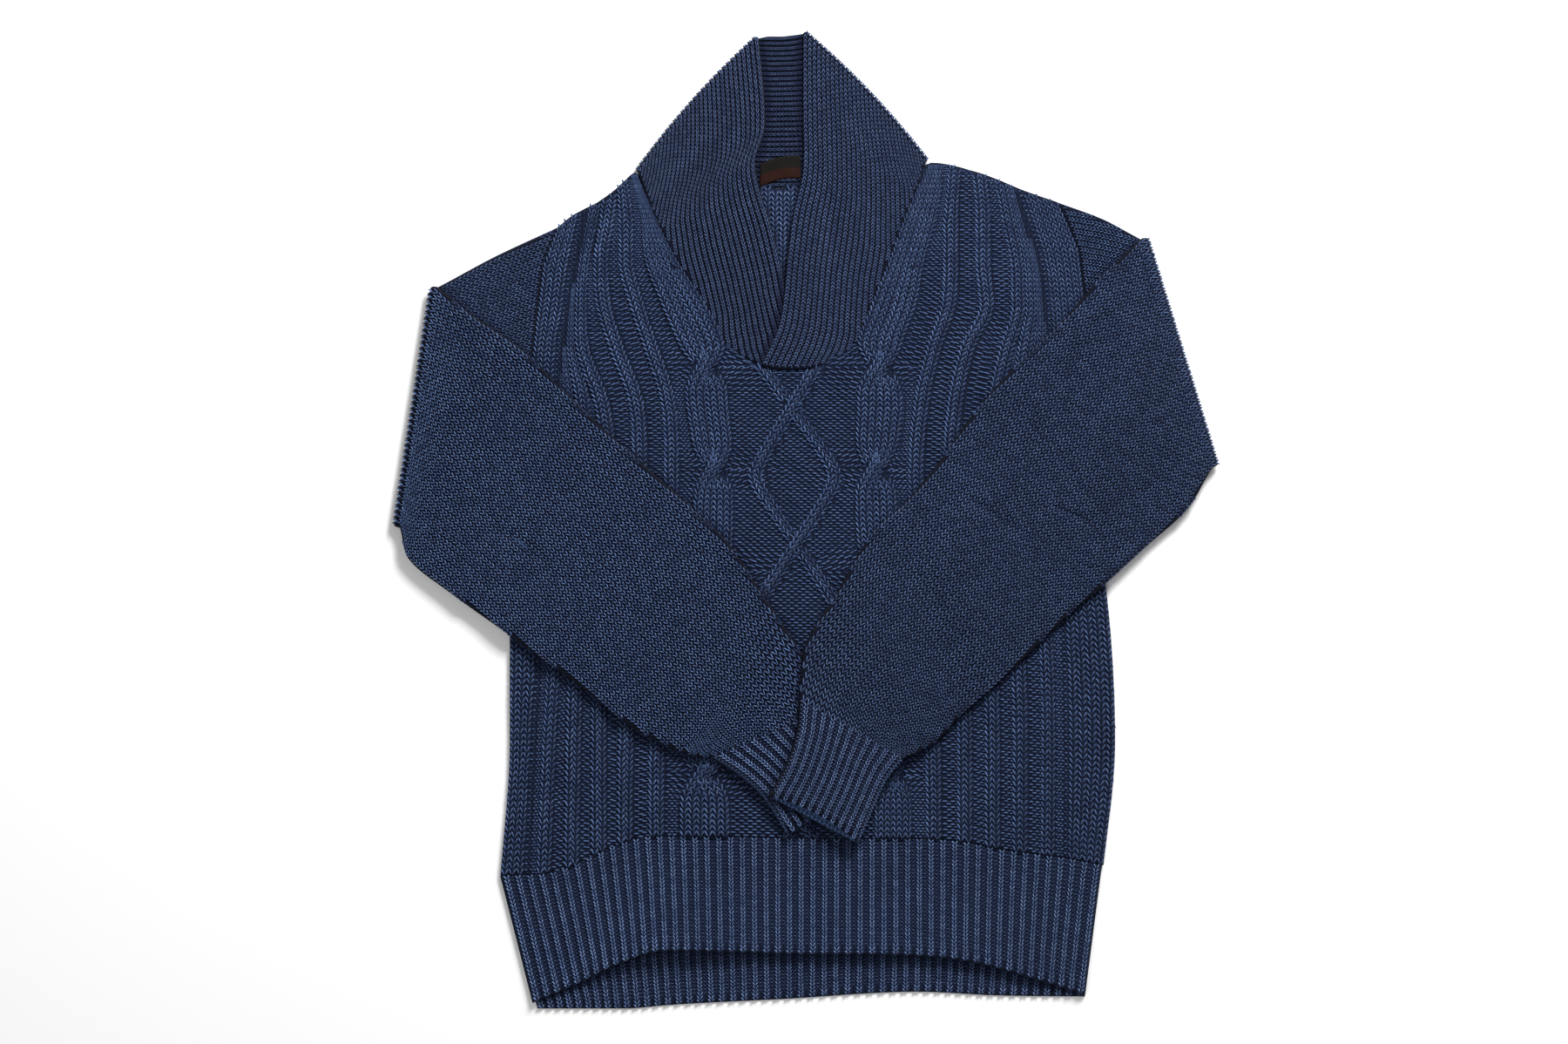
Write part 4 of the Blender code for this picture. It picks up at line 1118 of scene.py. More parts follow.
def collar_fold(line):
    """Stations round one fold of the collar, from the stand (angle 0) to the wing (angle pi)."""
    (low_x, low_y), (high_x, high_y) = line
    trim = COLLAR_TRIM / hypot(high_x - low_x, high_y - low_y)
    trimmed = ((mix(low_x, high_x, trim), mix(low_y, high_y, trim)), line[1])
    ends, out = fold_frame(trimmed, COLLAR_FOLD + COLLAR_WALL / 2)
    axis_z = COLLAR_WALL / 2 + COLLAR_FOLD

    def station(angle):
        def place(share, depth):
            x, y, z = turned(ends, out, share, depth, angle, COLLAR_FOLD, axis_z)
            bow = 4 * COLLAR_BOW * share * (1 - share)
            return x + out[0] * bow, y + out[1] * bow, z
        return place, np.sin(angle / 2) ** 2, BAND_RIBS

    return [station(pi * k / COLLAR_FOLD_STEPS) for k in range(COLLAR_FOLD_STEPS + 1)]


def wing_station(side, row, ribs):
    seam_x, seam_y, free_x, free_y, lap, lap_from = row
    outward = -1 if side == "left" else 1
    middle_z = COLLAR_WALL / 2 + 2 * COLLAR_FOLD
    at_foot = max(seam_y, free_y) < V_LEVEL
    if not at_foot:
        seam_x = float(body_line(side + "_neck", seam_y)) - outward * 2 * SEAM_GAP

    def place(share, depth):
        x = mix(seam_x, free_x, share)
        y = outline(V_BASE, x) + 2 * SEAM_GAP if at_foot else mix(seam_y, free_y, share)
        return x, y, middle_z + lap * ease(share / lap_from) - depth

    return place, 1.0, ribs


def stand_station(row):
    seam_x, free_x, free_y = row
    seam_y = straight(BACK_NECK, seam_x) + 2 * SEAM_GAP

    def place(share, depth):
        return mix(seam_x, free_x, share), mix(seam_y, free_y, share), COLLAR_WALL / 2 + depth + 0 * share

    return place, 0.0, BAND_RIBS


collar_stations = [wing_station("left", row, ribs) for row, ribs in zip(LEFT_WING[::-1], LEFT_WING_RIBS[::-1])]
collar_stations += collar_fold(LEFT_COLLAR_FOLD)[::-1]
collar_stations += [stand_station(row) for row in STAND]
collar_stations += collar_fold(RIGHT_COLLAR_FOLD)
collar_stations += [wing_station("right", row, ribs) for row, ribs in zip(RIGHT_WING, RIGHT_WING_RIBS)]


def collar_face(depth):
    thin = 1 - 0.6 * np.clip((SHARES - 0.985) / 0.015, 0, 1) ** 2
    sections = []
    for place, _, _ in collar_stations:
        sections.append(np.stack(np.broadcast_arrays(*place(SHARES, depth * thin)), axis=1))
    return lofted(sections)


COLLAR_RIB_RISE = 1.0
COLLAR_ROW = 2.9
COLLAR_CREASES = (
    (-75, 325, -118, 268, 7, 2.2), (-60, 335, -88, 245, 6, -1.8), (-95, 262, -55, 215, 8, 1.6),
    (-48, 300, -42, 240, 5, 1.2), (30, 335, 66, 258, 8, 1.8), (6, 310, 34, 210, 8, -1.4),
    (45, 300, 75, 225, 6, -1.4), (14, 250, 8, 170, 7, 1.0),
)
wing_face, collar_run = collar_face(-COLLAR_WALL / 2)
stand_face, stand_run = collar_face(COLLAR_WALL / 2)
wing_share = [share for _, share, _ in collar_stations]
rib_counts = [ribs for _, _, ribs in collar_stations]
collar_widths = [float(np.hypot(*(np.array(place(1.0, 0.0)[:2]) - np.array(place(0.0, 0.0)[:2]))))
                 for place, _, _ in collar_stations]


right_edge = collar_run[len(collar_stations) - len(RIGHT_WING) - COLLAR_FOLD_STEPS // 2 - 1]


def rib_rise(along):
    """Height of the ribs. They lie stretched almost flat on the right wing."""
    return COLLAR_RIB_RISE * np.interp(along, [right_edge, right_edge + 20], [1.0, 0.4])


def rib_number(along, across):
    """Ribs counted from the free edge of the band."""
    return (1 - across / COLLAR_COLUMNS) * np.interp(along, collar_run, rib_counts)


def collar_surface(seen_as_wing):
    def surface(along, across):
        stand_along = np.interp(along, collar_run, stand_run)
        wing, stand = wing_face(along, across), stand_face(stand_along, across)
        out = wing - stand
        out /= np.linalg.norm(out, axis=-1)[..., None] + 1e-9
        share = np.minimum(1.7 * np.interp(along, collar_run, wing_share), 1.0)
        ridge = rib_rise(along) * (0.5 - 0.5 * np.cos(2 * pi * rib_number(along, across)))
        if seen_as_wing:
            points = wing + out * ((ridge - SUNK / 2) * share)[..., None]
            soft = creased(points.reshape(-1, 3), COLLAR_CREASES).reshape(share.shape)
            points[..., 2] += soft * np.clip(out[..., 2], 0, 1) * share
            return points
        share = np.interp(along, collar_run, wing_share)
        return stand - out * ((ridge - SUNK / 2) * (1 - share))[..., None]
    return surface


print("collar run:", round(collar_run[-1]), "mm,", len(collar_stations), "stations")

# %% The collar and its stitches
rows = np.unique(np.concatenate([np.arange(0, collar_run[-1], 4.0), collar_run]))
rows = rows[np.concatenate([[True], np.diff(rows) > 0.9])]
rows[-1] = collar_run[-1]
along, across = np.meshgrid(rows, np.arange(COLLAR_COLUMNS + 1, dtype=float), indexing="ij")
outside, inside = collar_surface(True)(along, across), collar_surface(False)(along, across)
knit = np.stack([rib_number(along, across), along / COLLAR_ROW], axis=2)
# Painted shade: the face that carries the stitches is painted dark, the outer one on the wings and folds, the inner
# one on the stand.
covered_part = np.interp(along, collar_run, wing_share) > 0.1
collar = cloth_wall("collar_cloth", outside, inside, knit, rib_cloth, every=2, under=covered_part,
                    under_inside=~covered_part)

LEFT_TURN = len(LEFT_WING) + COLLAR_FOLD_STEPS // 2         # station at the edge of the left fold
RIGHT_TURN = len(collar_stations) - len(RIGHT_WING) - COLLAR_FOLD_STEPS // 2 - 1


def wing_cover(first, last):
    along = np.linspace(collar_run[first], collar_run[last], 24)
    seam = wing_face(along, np.zeros(24))[:, :2]
    free = wing_face(along, np.full(24, float(COLLAR_COLUMNS)))[:, :2]
    return np.concatenate([seam, free[::-1]])


left_wing_cover = wing_cover(0, LEFT_TURN)
right_wing_cover = wing_cover(RIGHT_TURN, len(collar_stations) - 1)


def collar_stitches(name, start, end, as_wing, cover, fill, shade):
    stitches = Stitches()
    face = collar_surface(as_wing)
    levels = np.arange(start, end, COLLAR_ROW)
    counts = np.interp(levels, collar_run, rib_counts)
    widths = np.interp(levels, collar_run, collar_widths)
    for number in range(BAND_RIBS):
        across = COLLAR_COLUMNS * (1 - (number + 0.5) / counts)
        at = np.stack([levels, across], axis=1)
        spots = face(levels, across)
        keep = (across > 0.8) & (spots[:, 2] > 1.4) & ~covered(spots, cover, 4.0)
        sideways = np.stack([np.zeros(len(levels)), COLLAR_COLUMNS / widths], axis=1)

        def surface(spot):
            return face(spot[:, 0], COLLAR_COLUMNS * (1 - (number + 0.5) / np.interp(spot[:, 0], collar_run, rib_counts))
                        + spot[:, 1])

        at[:, 1] = 0.0
        # Every stitch of the band is darkened by the given shade, and takes a painted shadow beside a piece that lies
        # over it.
        dark = shade + shaded(surface(at), cover, 7.0, 0.75)
        stitches.add(surface, at, (1.0, 0.0), sideways, COLLAR_ROW, widths / counts * fill, False, keep,
                     shade=np.minimum(dark, 0.9))
    return stitches.make(name, stitches_of_rib, "indigo_rib", **{"Leg Spread": 0.2})


left_wing_stitches = collar_stitches("collar_left_stitches", 1.0, collar_run[LEFT_TURN + 1] - 1, True,
                                     [right_wing_cover], 0.72, 0.54)
right_wing_stitches = collar_stitches("collar_right_stitches", collar_run[RIGHT_TURN - 1] + 1,
                                      collar_run[-1] - 1.0, True, [], 0.92, 0.56)
stand_stitches = collar_stitches("collar_stand_stitches", collar_run[LEFT_TURN + 2], collar_run[RIGHT_TURN - 2],
                                 False, [left_wing_cover, right_wing_cover], 0.62, 0.6)

# %% [markdown]
# ## The front
#
# The front is a height field: its outline lies flat, and its relief says how far each place stands
# out. Two-column ribs are round ridges, the ladders between them lie low, and each cable is two
# strands that change sides at every crossing, the one from lower left always on top.

# %% Relief of the front
def strand(turn, y):
    """One of a cable's two strands: share across the cable, lift, and where it lies underneath."""
    count = np.round((y - CABLE_CROSSING) / CABLE_PERIOD)
    past = y - CABLE_CROSSING - count * CABLE_PERIOD
    over = (count + turn) % 2 == 0
    swing = ease((past + CABLE_TURN) / (2 * CABLE_TURN))
    share = np.where(over, mix(0.25, 0.75, swing), mix(0.75, 0.25, swing))
    lift = np.where(over, 0.9, -1.5) * np.exp(-(past / 9.0) ** 2)
    crossing = y < CABLE_CROSSING + CABLE_PERIOD / 2        # along the neck seam the strands run straight
    share = np.where(crossing, share, 0.75 if turn == 0 else 0.25)
    return share, lift * crossing, ~over & (np.abs(past) < 6.5) & crossing


def pinch(y):
    """Width of a cable, as a share: it draws together at each crossing."""
    past = y - CABLE_CROSSING - np.round((y - CABLE_CROSSING) / CABLE_PERIOD) * CABLE_PERIOD
    return 1 - 0.12 * np.exp(-(past / 17.0) ** 2) * (y < CABLE_CROSSING + CABLE_PERIOD / 2)


def cable_frame(side, y):
    outer_line, inner_line = body_line(side + "_cable", y), body_line(side + "_neck", y)
    return (outer_line + inner_line) / 2, np.abs(inner_line - outer_line)


def pinched(side, y, inner):
    """Edge of a cable as it draws together: its inner edge or the one on the ribs' side."""
    middle, width = cable_frame(side, y)
    towards = (1 if side == "left" else -1) * (1 if inner else -1)
    share = np.abs(strand(0, y)[0] - 0.5) + 0.25
    return middle + towards * width * share * pinch(y)


def strand_x(side, turn, y):
    middle, width = cable_frame(side, y)
    share, _, _ = strand(turn, y)
    return middle + (share - 0.5) * width * pinch(y)


def cable_relief(side, x, y):
    middle, width = cable_frame(side, y)
    total = np.zeros_like(x)
    for turn in (0, 1):
        _, lift, _ = strand(turn, y)
        away = (x - strand_x(side, turn, y)) / (width * 0.28 * pinch(y))
        dome = np.sqrt(np.clip(1 - away**2, 0, 1))
        total = np.maximum(total, dome * (CABLE_RISE * np.minimum(1, width / 34) + lift))
    count = np.round((y - CABLE_CROSSING) / CABLE_PERIOD)
    pit_y = CABLE_CROSSING + count * CABLE_PERIOD - 2
    pit = np.exp(-((x - middle - 7) ** 2 + (y - pit_y) ** 2) / 7.0)
    return total - 2.2 * pit * (width > 25)


def half_lines(side, y):
    """Edge, trough, feet of the five ribs, cable and neck line of one half at the given heights."""
    inward = 1 if side == "left" else -1
    names = ("_edge", "_trough", "_rib3", "_rib2", "_rib1", "_cable", "_neck")
    edge, trough, rib3, rib2, rib1, cable, neck = (body_line(side + name, y) for name in names)
    start = trough + inward * TROUGH_HALF
    room = np.maximum(inward * (rib3 - start) - RIB_HALF, LEAST_ROOM)
    ribs = [start + inward * room * share for share in SQUEEZED_RIBS] + [rib3, rib2, rib1]
    stops = [start] + ribs + [cable]
    feet = []
    for before, rib, after in zip(stops, stops[1:], stops[2:]):
        low = np.minimum(RIB_HALF, CROWDED_HALF * np.abs(rib - before))
        high = np.minimum(RIB_HALF, CROWDED_HALF * np.abs(after - rib))
        feet.append((rib - inward * low, rib, rib + inward * high))
    return edge, trough, start, feet, cable, neck


def diamond_x(turn, y):
    """Travelling line of the diamonds and its lift; the two lines cross at every period."""
    phase = pi * (y - DIAMOND_CROSSING) / DIAMOND_PERIOD
    swing = np.arcsin(0.97 * np.sin(phase)) / np.arcsin(0.97)
    sign = 1 if turn == 0 else -1
    lift = 0.8 * np.sign(sign * np.cos(phase)) * np.exp(-(np.sin(phase) / 0.16) ** 2)
    return body_line("centre", y) + sign * DIAMOND_HALF * swing, lift


def round_ridge(away, half):
    return np.cos(np.clip(away / half, -1, 1) * pi / 2)


def front_relief(x, y):
    total = np.zeros_like(x)
    for side, inward in (("left", 1), ("right", -1)):
        edge, trough, _, feet, cable, neck = half_lines(side, y)
        into = np.clip(inward * (x - edge) / EDGE_INSET, 0, 1)
        total -= np.where(y < UNDERARM, EDGE_ROUND, 0.5) * (1 - into) ** 2
        total -= TROUGH_DEPTH * round_ridge(x - trough, TROUGH_HALF)
        for low, rib, high in feet:
            half = np.where(inward * (x - rib) < 0, np.abs(rib - low), np.abs(high - rib)) + 1e-3
            rise = RIB_RISE * np.minimum(np.abs(rib - low), np.abs(high - rib)) / RIB_HALF
            total += rise * round_ridge(x - rib, half)
        total += cable_relief(side, x, y)
    lines = np.zeros_like(x)
    for turn in (0, 1):
        place, lift = diamond_x(turn, y)
        lines = np.maximum(lines, (RIB_RISE + lift) * round_ridge(x - place, RIB_HALF))
    return total + lines * (y < V_LEVEL)


FRONT_CREASES = (
    (-164, 268, -196, 190, 6, -3.4), (-178, 262, -212, 178, 7, 2.0), (-150, 262, -180, 205, 7, 1.8), (-185, 200, -212, 140, 9, 1.2),
    (-120, 150, -150, 60, 12, 0.6), (120, 190, 160, 90, 12, 0.6), (-200, -180, -120, -250, 14, 0.7),
    (180, -200, 120, -255, 14, 0.6),
)


def front_surface(at):
    x, y = at[..., 0], at[..., 1]
    z = Z_FRONT + WALL - SUNK + front_relief(x, y)
    flat = np.stack([x, y], axis=-1).reshape(-1, 2)
    z = z + creased(flat, FRONT_CREASES).reshape(z.shape)
    return np.stack([x, y, np.maximum(z, Z_FRONT + 0.5)], axis=-1)


print("cable rise:", round(float(front_relief(np.array([-84.0]), np.array([85.0]))[0]), 2), "mm")

# %% [markdown]
# The grid of the front follows its own lines, so that a ridge never cuts across a row of faces. Above
# the foot of the V the middle columns stop, and the cloth goes on in two halves to the shoulders.

# %% The front's wall
LOWER_ROWS, UPPER_ROWS = 92, 28
COLUMN_STEP = 2.5
HEIGHTS = np.arange(-302.0, 304.0, 2.0)


def front_stops(side):
    """Lines of a half at every height, thickened to columns of about the same width."""
    edge, trough, start, feet, cable, neck = half_lines(side, HEIGHTS)
    inward = 1 if side == "left" else -1
    stops = [edge, edge + inward * EDGE_INSET, trough - inward * TROUGH_HALF, trough, start]
    for low, rib, high in feet:
        stops += [low, rib, high]
    stops += [cable, neck]
    near = int(np.argmin(np.abs(HEIGHTS + 184)))
    lines = [stops[0]]
    for a, b in zip(stops, stops[1:]):
        cells = max(1, int(round(abs(b[near] - a[near]) / COLUMN_STEP)))
        lines += [mix(a, b, (k + 1) / cells) for k in range(cells)]
    return lines


left_lines, right_lines = front_stops("left"), front_stops("right")[::-1]
middle_cells = int(round((right_lines[0][60] - left_lines[-1][60]) / COLUMN_STEP))
middle_lines = [mix(left_lines[-1], right_lines[0], (k + 1) / middle_cells) for k in range(middle_cells - 1)]
front_lines = np.array(left_lines + middle_lines + right_lines)
first_middle, last_middle = len(left_lines) - 1, len(left_lines) + len(middle_lines)

total_rows = LOWER_ROWS + UPPER_ROWS + 1
x = np.zeros((total_rows, len(front_lines)))
y = np.full(x.shape, V_LEVEL)
row = np.arange(total_rows)
is_middle = (np.arange(len(front_lines)) > first_middle) & (np.arange(len(front_lines)) < last_middle)
for _ in range(8):
    for c, line in enumerate(front_lines):
        x[:, c] = np.interp(y[:, c], HEIGHTS, line)
    foot = outline(HEM_TOP, x) + SEAM_GAP / 2
    fork = np.where(is_middle[None, :], outline(V_BASE, x), V_LEVEL)
    lower = mix(foot, fork, np.minimum(row / LOWER_ROWS, 1)[:, None])
    upper = mix(fork, outline(SHOULDERS, x), np.maximum((row - LOWER_ROWS) / UPPER_ROWS, 0)[:, None])
    y = np.where(row[:, None] <= LOWER_ROWS, lower, upper)

present = np.ones((total_rows - 1, len(front_lines) - 1), bool)
present[LOWER_ROWS:, first_middle:last_middle] = False
places = np.stack([x, y], axis=2)
front_face = front_surface(places)
lining = front_face.copy()
lining[..., 2] = Z_FRONT
knit = np.stack([x / BODY_WALE, y / BODY_ROW], axis=2)
# Painted shade: the wall under the stitches is painted almost as dark as the gaps.
front = cloth_wall("front_cloth", front_face, lining, knit, body_cloth,
                   present=present, every=5, under=0.93)

# %% [markdown]
# The stitches of the front stand in columns, and each column has its own line and width. Rows start
# on the curve of the hem seam and straighten on their way up. Stitches that the sleeves or the collar
# hide are left out.

# %% The front's stitches
ROW_LOW, ROW_HIGH = 4.75, 4.1
MIDDLE_FOOT = -265.0
levels = [MIDDLE_FOOT + 3.0]
while levels[-1] < 300:
    levels.append(levels[-1] + mix(ROW_LOW, ROW_HIGH, min(max((levels[-1] + 100) / 250, 0), 1)))
levels = np.array(levels)
pitch = np.gradient(levels)

front_stitches = Stitches()
front_cover = all_over + [left_wing_cover, right_wing_cover]


def knit_column(x_of, width_of, purl, least, keep_of=None):
    """One column of stitches up the front, where it is at least so wide and nothing hides it."""
    y = levels.copy()
    for _ in range(4):
        stretch = (V_LEVEL - outline(HEM_TOP, x_of(y))) / (V_LEVEL - MIDDLE_FOOT)
        y = np.where(levels < V_LEVEL, V_LEVEL - (V_LEVEL - levels) * stretch, levels)
    closing = np.array([130.0])
    for _ in range(4):
        closing = outline(V_BASE, x_of(closing)) - 2.0
    y = np.append(y, closing)                   # one more stitch right under the neck seam
    x = x_of(y)
    width = width_of(y)
    slope = (x_of(y + 1) - x_of(y - 1)) / 2
    at = np.stack([x, y], axis=1)
    inside = (x > body_line("left_neck", y)) & (x < body_line("right_neck", y))
    top = np.where(inside, outline(V_BASE, x), outline(SHOULDERS, x)) - 1.2
    keep = (width > least) & (y < top) & (y > outline(HEM_TOP, x) + 0.8)
    keep[-1] &= inside[-1]
    keep &= ~covered(at, front_cover, HIDDEN)
    if keep_of is not None:
        keep &= keep_of(x, y)
    forward = np.stack([slope, np.ones(len(y))], axis=1)
    # Painted shadow beside a piece that lies over the front; every stitch is also darkened a little, a purl stitch a
    # little more.
    dark = shaded(at, front_cover, 5.0, 0.4) + (0.3 if purl else 0.25)
    front_stitches.add(front_surface, at, forward, (1.0, 0.0), np.append(pitch, ROW_HIGH), width, purl, keep,
                       shade=dark)


EDGE_WALES = {"left": 3, "right": 5}
for side, inward in (("left", 1), ("right", -1)):
    count = EDGE_WALES[side]
    for k in range(count):
        knit_column(lambda y, k=k: mix(half_lines(side, y)[0], half_lines(side, y)[1] - inward * 2, (k + 0.5) / count),
                    lambda y: np.abs(half_lines(side, y)[1] - inward * 2 - half_lines(side, y)[0]) / count, False, 1.8)
    knit_column(lambda y: half_lines(side, y)[1], lambda y: np.full(len(y), 4.5), True, 2.0)
    for k in range(5):
        for share in (0.26, 0.74):
            knit_column(lambda y, s=share: mix(half_lines(side, y)[3][k][0], half_lines(side, y)[3][k][2], s),
                        lambda y: np.abs(half_lines(side, y)[3][k][2] - half_lines(side, y)[3][k][0]) * 0.54,
                        False, 1.7)
    for k in range(6):
        def ladder(y, k=k):
            _, _, start, feet, cable, _ = half_lines(side, y)
            return (feet[k - 1][2] if k else start), (feet[k][0] if k < 5 else pinched(side, y, False))

        wales = 3 if k == 5 else 2
        for wale in range(wales):
            knit_column(lambda y, s=(wale + 0.5) / wales: mix(*ladder(y), s),
                        lambda y: np.abs(ladder(y)[1] - ladder(y)[0]) * 1.06 / wales, True, 1.2)
    for turn in (0, 1):
        for k in (-1, 0, 1):
            knit_column(lambda y: strand_x(side, turn, y) + k * cable_frame(side, y)[1] * pinch(y) / 6,
                        lambda y: np.maximum(cable_frame(side, y)[1] * pinch(y) / 6 * 1.12, 2.2), False, 1.6,
                        lambda x, y: ~strand(turn, y)[2])

GROUND_WALES = 17
for k in range(GROUND_WALES):
    knit_column(lambda y: mix(pinched("left", y, True), pinched("right", y, True), (k + 0.5) / GROUND_WALES),
                lambda y: np.abs(pinched("right", y, True) - pinched("left", y, True)) / GROUND_WALES, True, 2.0,
                lambda x, y: (np.abs(x - diamond_x(0, y)[0]) > 5.0) & (np.abs(x - diamond_x(1, y)[0]) > 5.0)
                & (y < V_LEVEL))
for turn in (0, 1):
    for offset in (-3.1, 3.1):
        knit_column(lambda y: diamond_x(turn, y)[0] + offset, lambda y: np.full(len(y), 6.8), False, 2.0,
                    lambda x, y: (y < V_LEVEL) & (diamond_x(turn, y)[1] > -0.45))
front_knots = front_stitches.make("front_stitches", stitches_of_body, "indigo_knit")

# %% [markdown]
# ## The hem bands
#
# The ribbed hem fans out from its seam, and its front lies a little above the back with its lower
# edge lifted. A place on the band is a share across it and a share of the way down.

# %% The hem bands and their stitches
HEM_RIB_RISE = 1.7
HEM_ROW = 3.1


def hem_place(rows, seam, at):
    """Point of the band's middle layer; at holds the share across and the share of the way down."""
    share, down = at[..., 0], at[..., 1]
    tops = column(rows, HEM_COLUMNS, "top_x")
    top_x = mix(tops[0], tops[-1], share)
    bottom_x = smooth(tops, column(rows, HEM_COLUMNS, "bottom_x"), top_x)
    bottom_y = smooth(tops, column(rows, HEM_COLUMNS, "bottom_y"), top_x)
    lift = smooth(tops, column(rows, HEM_COLUMNS, "lift"), top_x) * down * down
    top_y = seam(top_x) - SEAM_GAP / 2
    return np.stack([mix(top_x, bottom_x, down), mix(top_y, bottom_y, down), lift], axis=-1)


def make_hem(name, rows, seam, base, thick, length, cover, shown_from):
    def surface(at):
        points = hem_place(rows, seam, at)
        share, down = at[..., 0], at[..., 1]
        into = np.clip(np.minimum(share, 1 - share) * HEM_WIDTH / EDGE_INSET, 0, 1)
        end = np.clip((1 - down) * length / 3.0, 0, 1)
        rolled = 0.7 * np.exp(-(((1 - down) * length - 4) / 3.0) ** 2)
        ridge = HEM_RIB_RISE * np.sin(pi * share * HEM_RIBS) ** 2 - HEM_RIB_RISE / 2
        fall = EDGE_ROUND * ((1 - into) ** 2 + (1 - end) ** 2)
        points[..., 2] += base + thick - SUNK + ridge * np.minimum(into, end) + rolled - np.minimum(fall, 1.6)
        return points

    levels = np.concatenate([np.linspace(0, 0.94, 22), np.linspace(0.95, 1.0, 6)])
    down, share = np.meshgrid(levels, np.linspace(0, 1, 6 * HEM_RIBS + 1), indexing="ij")
    at = np.stack([share, down], axis=-1)[::-1]
    face = surface(at)
    lining = hem_place(rows, seam, at)
    lining[..., 2] += base
    knit = np.stack([at[..., 0] * HEM_RIBS + 0.0, -at[..., 1] * length / HEM_ROW], axis=2)
    # Painted shade: the wall under the stitches is painted nearly as dark as the gaps.
    shell = cloth_wall(name + "_cloth", face, lining, knit, rib_cloth, every=6, under=0.9)
    stitches = Stitches()
    count = int(length / HEM_ROW)
    downs = 1 - (np.arange(count) + 0.6) / count
    pitch = HEM_WIDTH / HEM_RIBS
    for number in range(2 * HEM_RIBS + 1):
        purl = number % 2 == 0
        share = np.full(count, number / (2 * HEM_RIBS))
        if number in (0, 2 * HEM_RIBS):
            continue
        at = np.stack([share, downs], axis=1)
        keep = (downs > shown_from) & ~(purl & (downs > 1 - 7.5 / length)) & ~covered(surface(at), cover, HIDDEN)
        flare = 0.45 + 0.10 * np.exp(-((1 - downs) * length / 7.0) ** 2) + 0.06 * np.exp(-(downs * length / 7.0) ** 2)
        width = pitch * (flare if not purl else 0.42)
        # Painted shadow beside a piece that lies over the band, and painted shade on the sunken purl stitches.
        dark = shaded(surface(at), cover) + (0.62 if purl else 0.04)
        stitches.add(surface, at, (0.0, -1.0 / length), (1.0 / HEM_WIDTH, 0.0), length / count, width, purl, keep,
                     shade=np.minimum(dark, 0.9))
    knots = stitches.make(name + "_stitches", stitches_of_rib, "indigo_rib")
    return shell, knots, surface


front_hem, front_hem_stitches, front_hem_surface = make_hem(
    "front_hem", FRONT_HEM, lambda x: outline(HEM_TOP, x), Z_FRONT, WALL, FRONT_HEM_LENGTH,
    [own_cover["left"], cuff_cover["left"], own_cover["right"], cuff_cover["right"]], -1.0)
edge_shares = np.linspace(0, 1, 40)
hem_cover = np.concatenate([hem_place(FRONT_HEM, lambda x: outline(HEM_TOP, x), np.stack([edge_shares, 0 * edge_shares], 1)),
                            hem_place(FRONT_HEM, lambda x: outline(HEM_TOP, x), np.stack([edge_shares, 0 * edge_shares + 1], 1))[::-1]])
back_hem, back_hem_stitches, _ = make_hem(
    "back_hem", BACK_HEM, lambda x: straight(BACK_SEAM, x), 0.0, WALL - 0.3, BACK_HEM_LENGTH,
    [hem_cover[:, :2]], 0.4)

# %% [markdown]
# ## The back and the neck label
#
# Little of the back shows: a narrow wedge between the collar's two ends, where its inside faces up.
# The label sits above it, a small woven patch with a dark band over a rust-brown one, left plain.

# %% The back
back_rows, back_neck_x = 60, np.array([x for x, _ in BACK_NECK], float)


def back_stops(y):
    left, right = body_line("left_edge", y), body_line("right_edge", y)
    stops = [left, left + EDGE_INSET] + [mix(left, back_neck_x[0], k / 4) for k in (1, 2, 3)]
    stops += [np.full(len(y), x) for x in np.interp(np.arange(0, 4.01, 0.25), np.arange(5), back_neck_x)]
    stops += [mix(back_neck_x[-1], right, k / 4) for k in (1, 2, 3)] + [right - EDGE_INSET, right]
    return np.array(stops)


back_lines = back_stops(HEIGHTS)
x = np.zeros((back_rows + 1, len(back_lines)))
y = np.full(x.shape, V_LEVEL)
for _ in range(8):
    for c, line in enumerate(back_lines):
        x[:, c] = np.interp(y[:, c], HEIGHTS, line)
    on_neck = (x >= BACK_NECK[0][0]) & (x <= BACK_NECK[-1][0])
    top = np.where(on_neck, straight(BACK_NECK, x), outline(SHOULDERS, x))
    foot = straight(BACK_SEAM, x) + SEAM_GAP / 2
    y = mix(foot, top, (np.arange(back_rows + 1) / back_rows)[:, None])
face = np.stack([x, y, np.full(x.shape, WALL - SUNK / 2)], axis=2)
lining = face.copy()
edge = np.minimum(np.abs(x - x[:, :1]), np.abs(x - x[:, -1:]))
lining[..., 2] = EDGE_ROUND * (1 - np.clip(edge / EDGE_INSET, 0, 1)) ** 2
knit = np.stack([x / BODY_WALE, y / BODY_ROW], axis=2)
# Painted shade: the back's wall is painted nearly as dark as the gaps.
back = cloth_wall("back_cloth", face, lining, knit, body_cloth, every=1, under=0.9)

back_stitches = Stitches()
levels_back = np.arange(126.0, 282.0, 4.2)
for k in range(-9, 6):
    at = np.stack([np.full(len(levels_back), -18 + 6.4 * k), levels_back], axis=1)
    keep = ~covered(at, [left_wing_cover, right_wing_cover], 4.0) & (at[:, 1] < straight(BACK_NECK, at[:, 0]) - 1)
    keep &= at[:, 1] > outline(V_BASE, at[:, 0]) - 4

    def surface(at):
        return np.stack([at[:, 0], at[:, 1], np.full(len(at), WALL)], axis=1)

    # Painted shadow beside the collar's two ends.
    dark = shaded(at, [left_wing_cover, right_wing_cover], 7.0, 0.8)
    back_stitches.add(surface, at, (0.0, 1.0), (1.0, 0.0), 4.2, 6.4, False, keep, shade=dark)
back_knots = back_stitches.make("back_stitches", stitches_of_body, "indigo_knit")

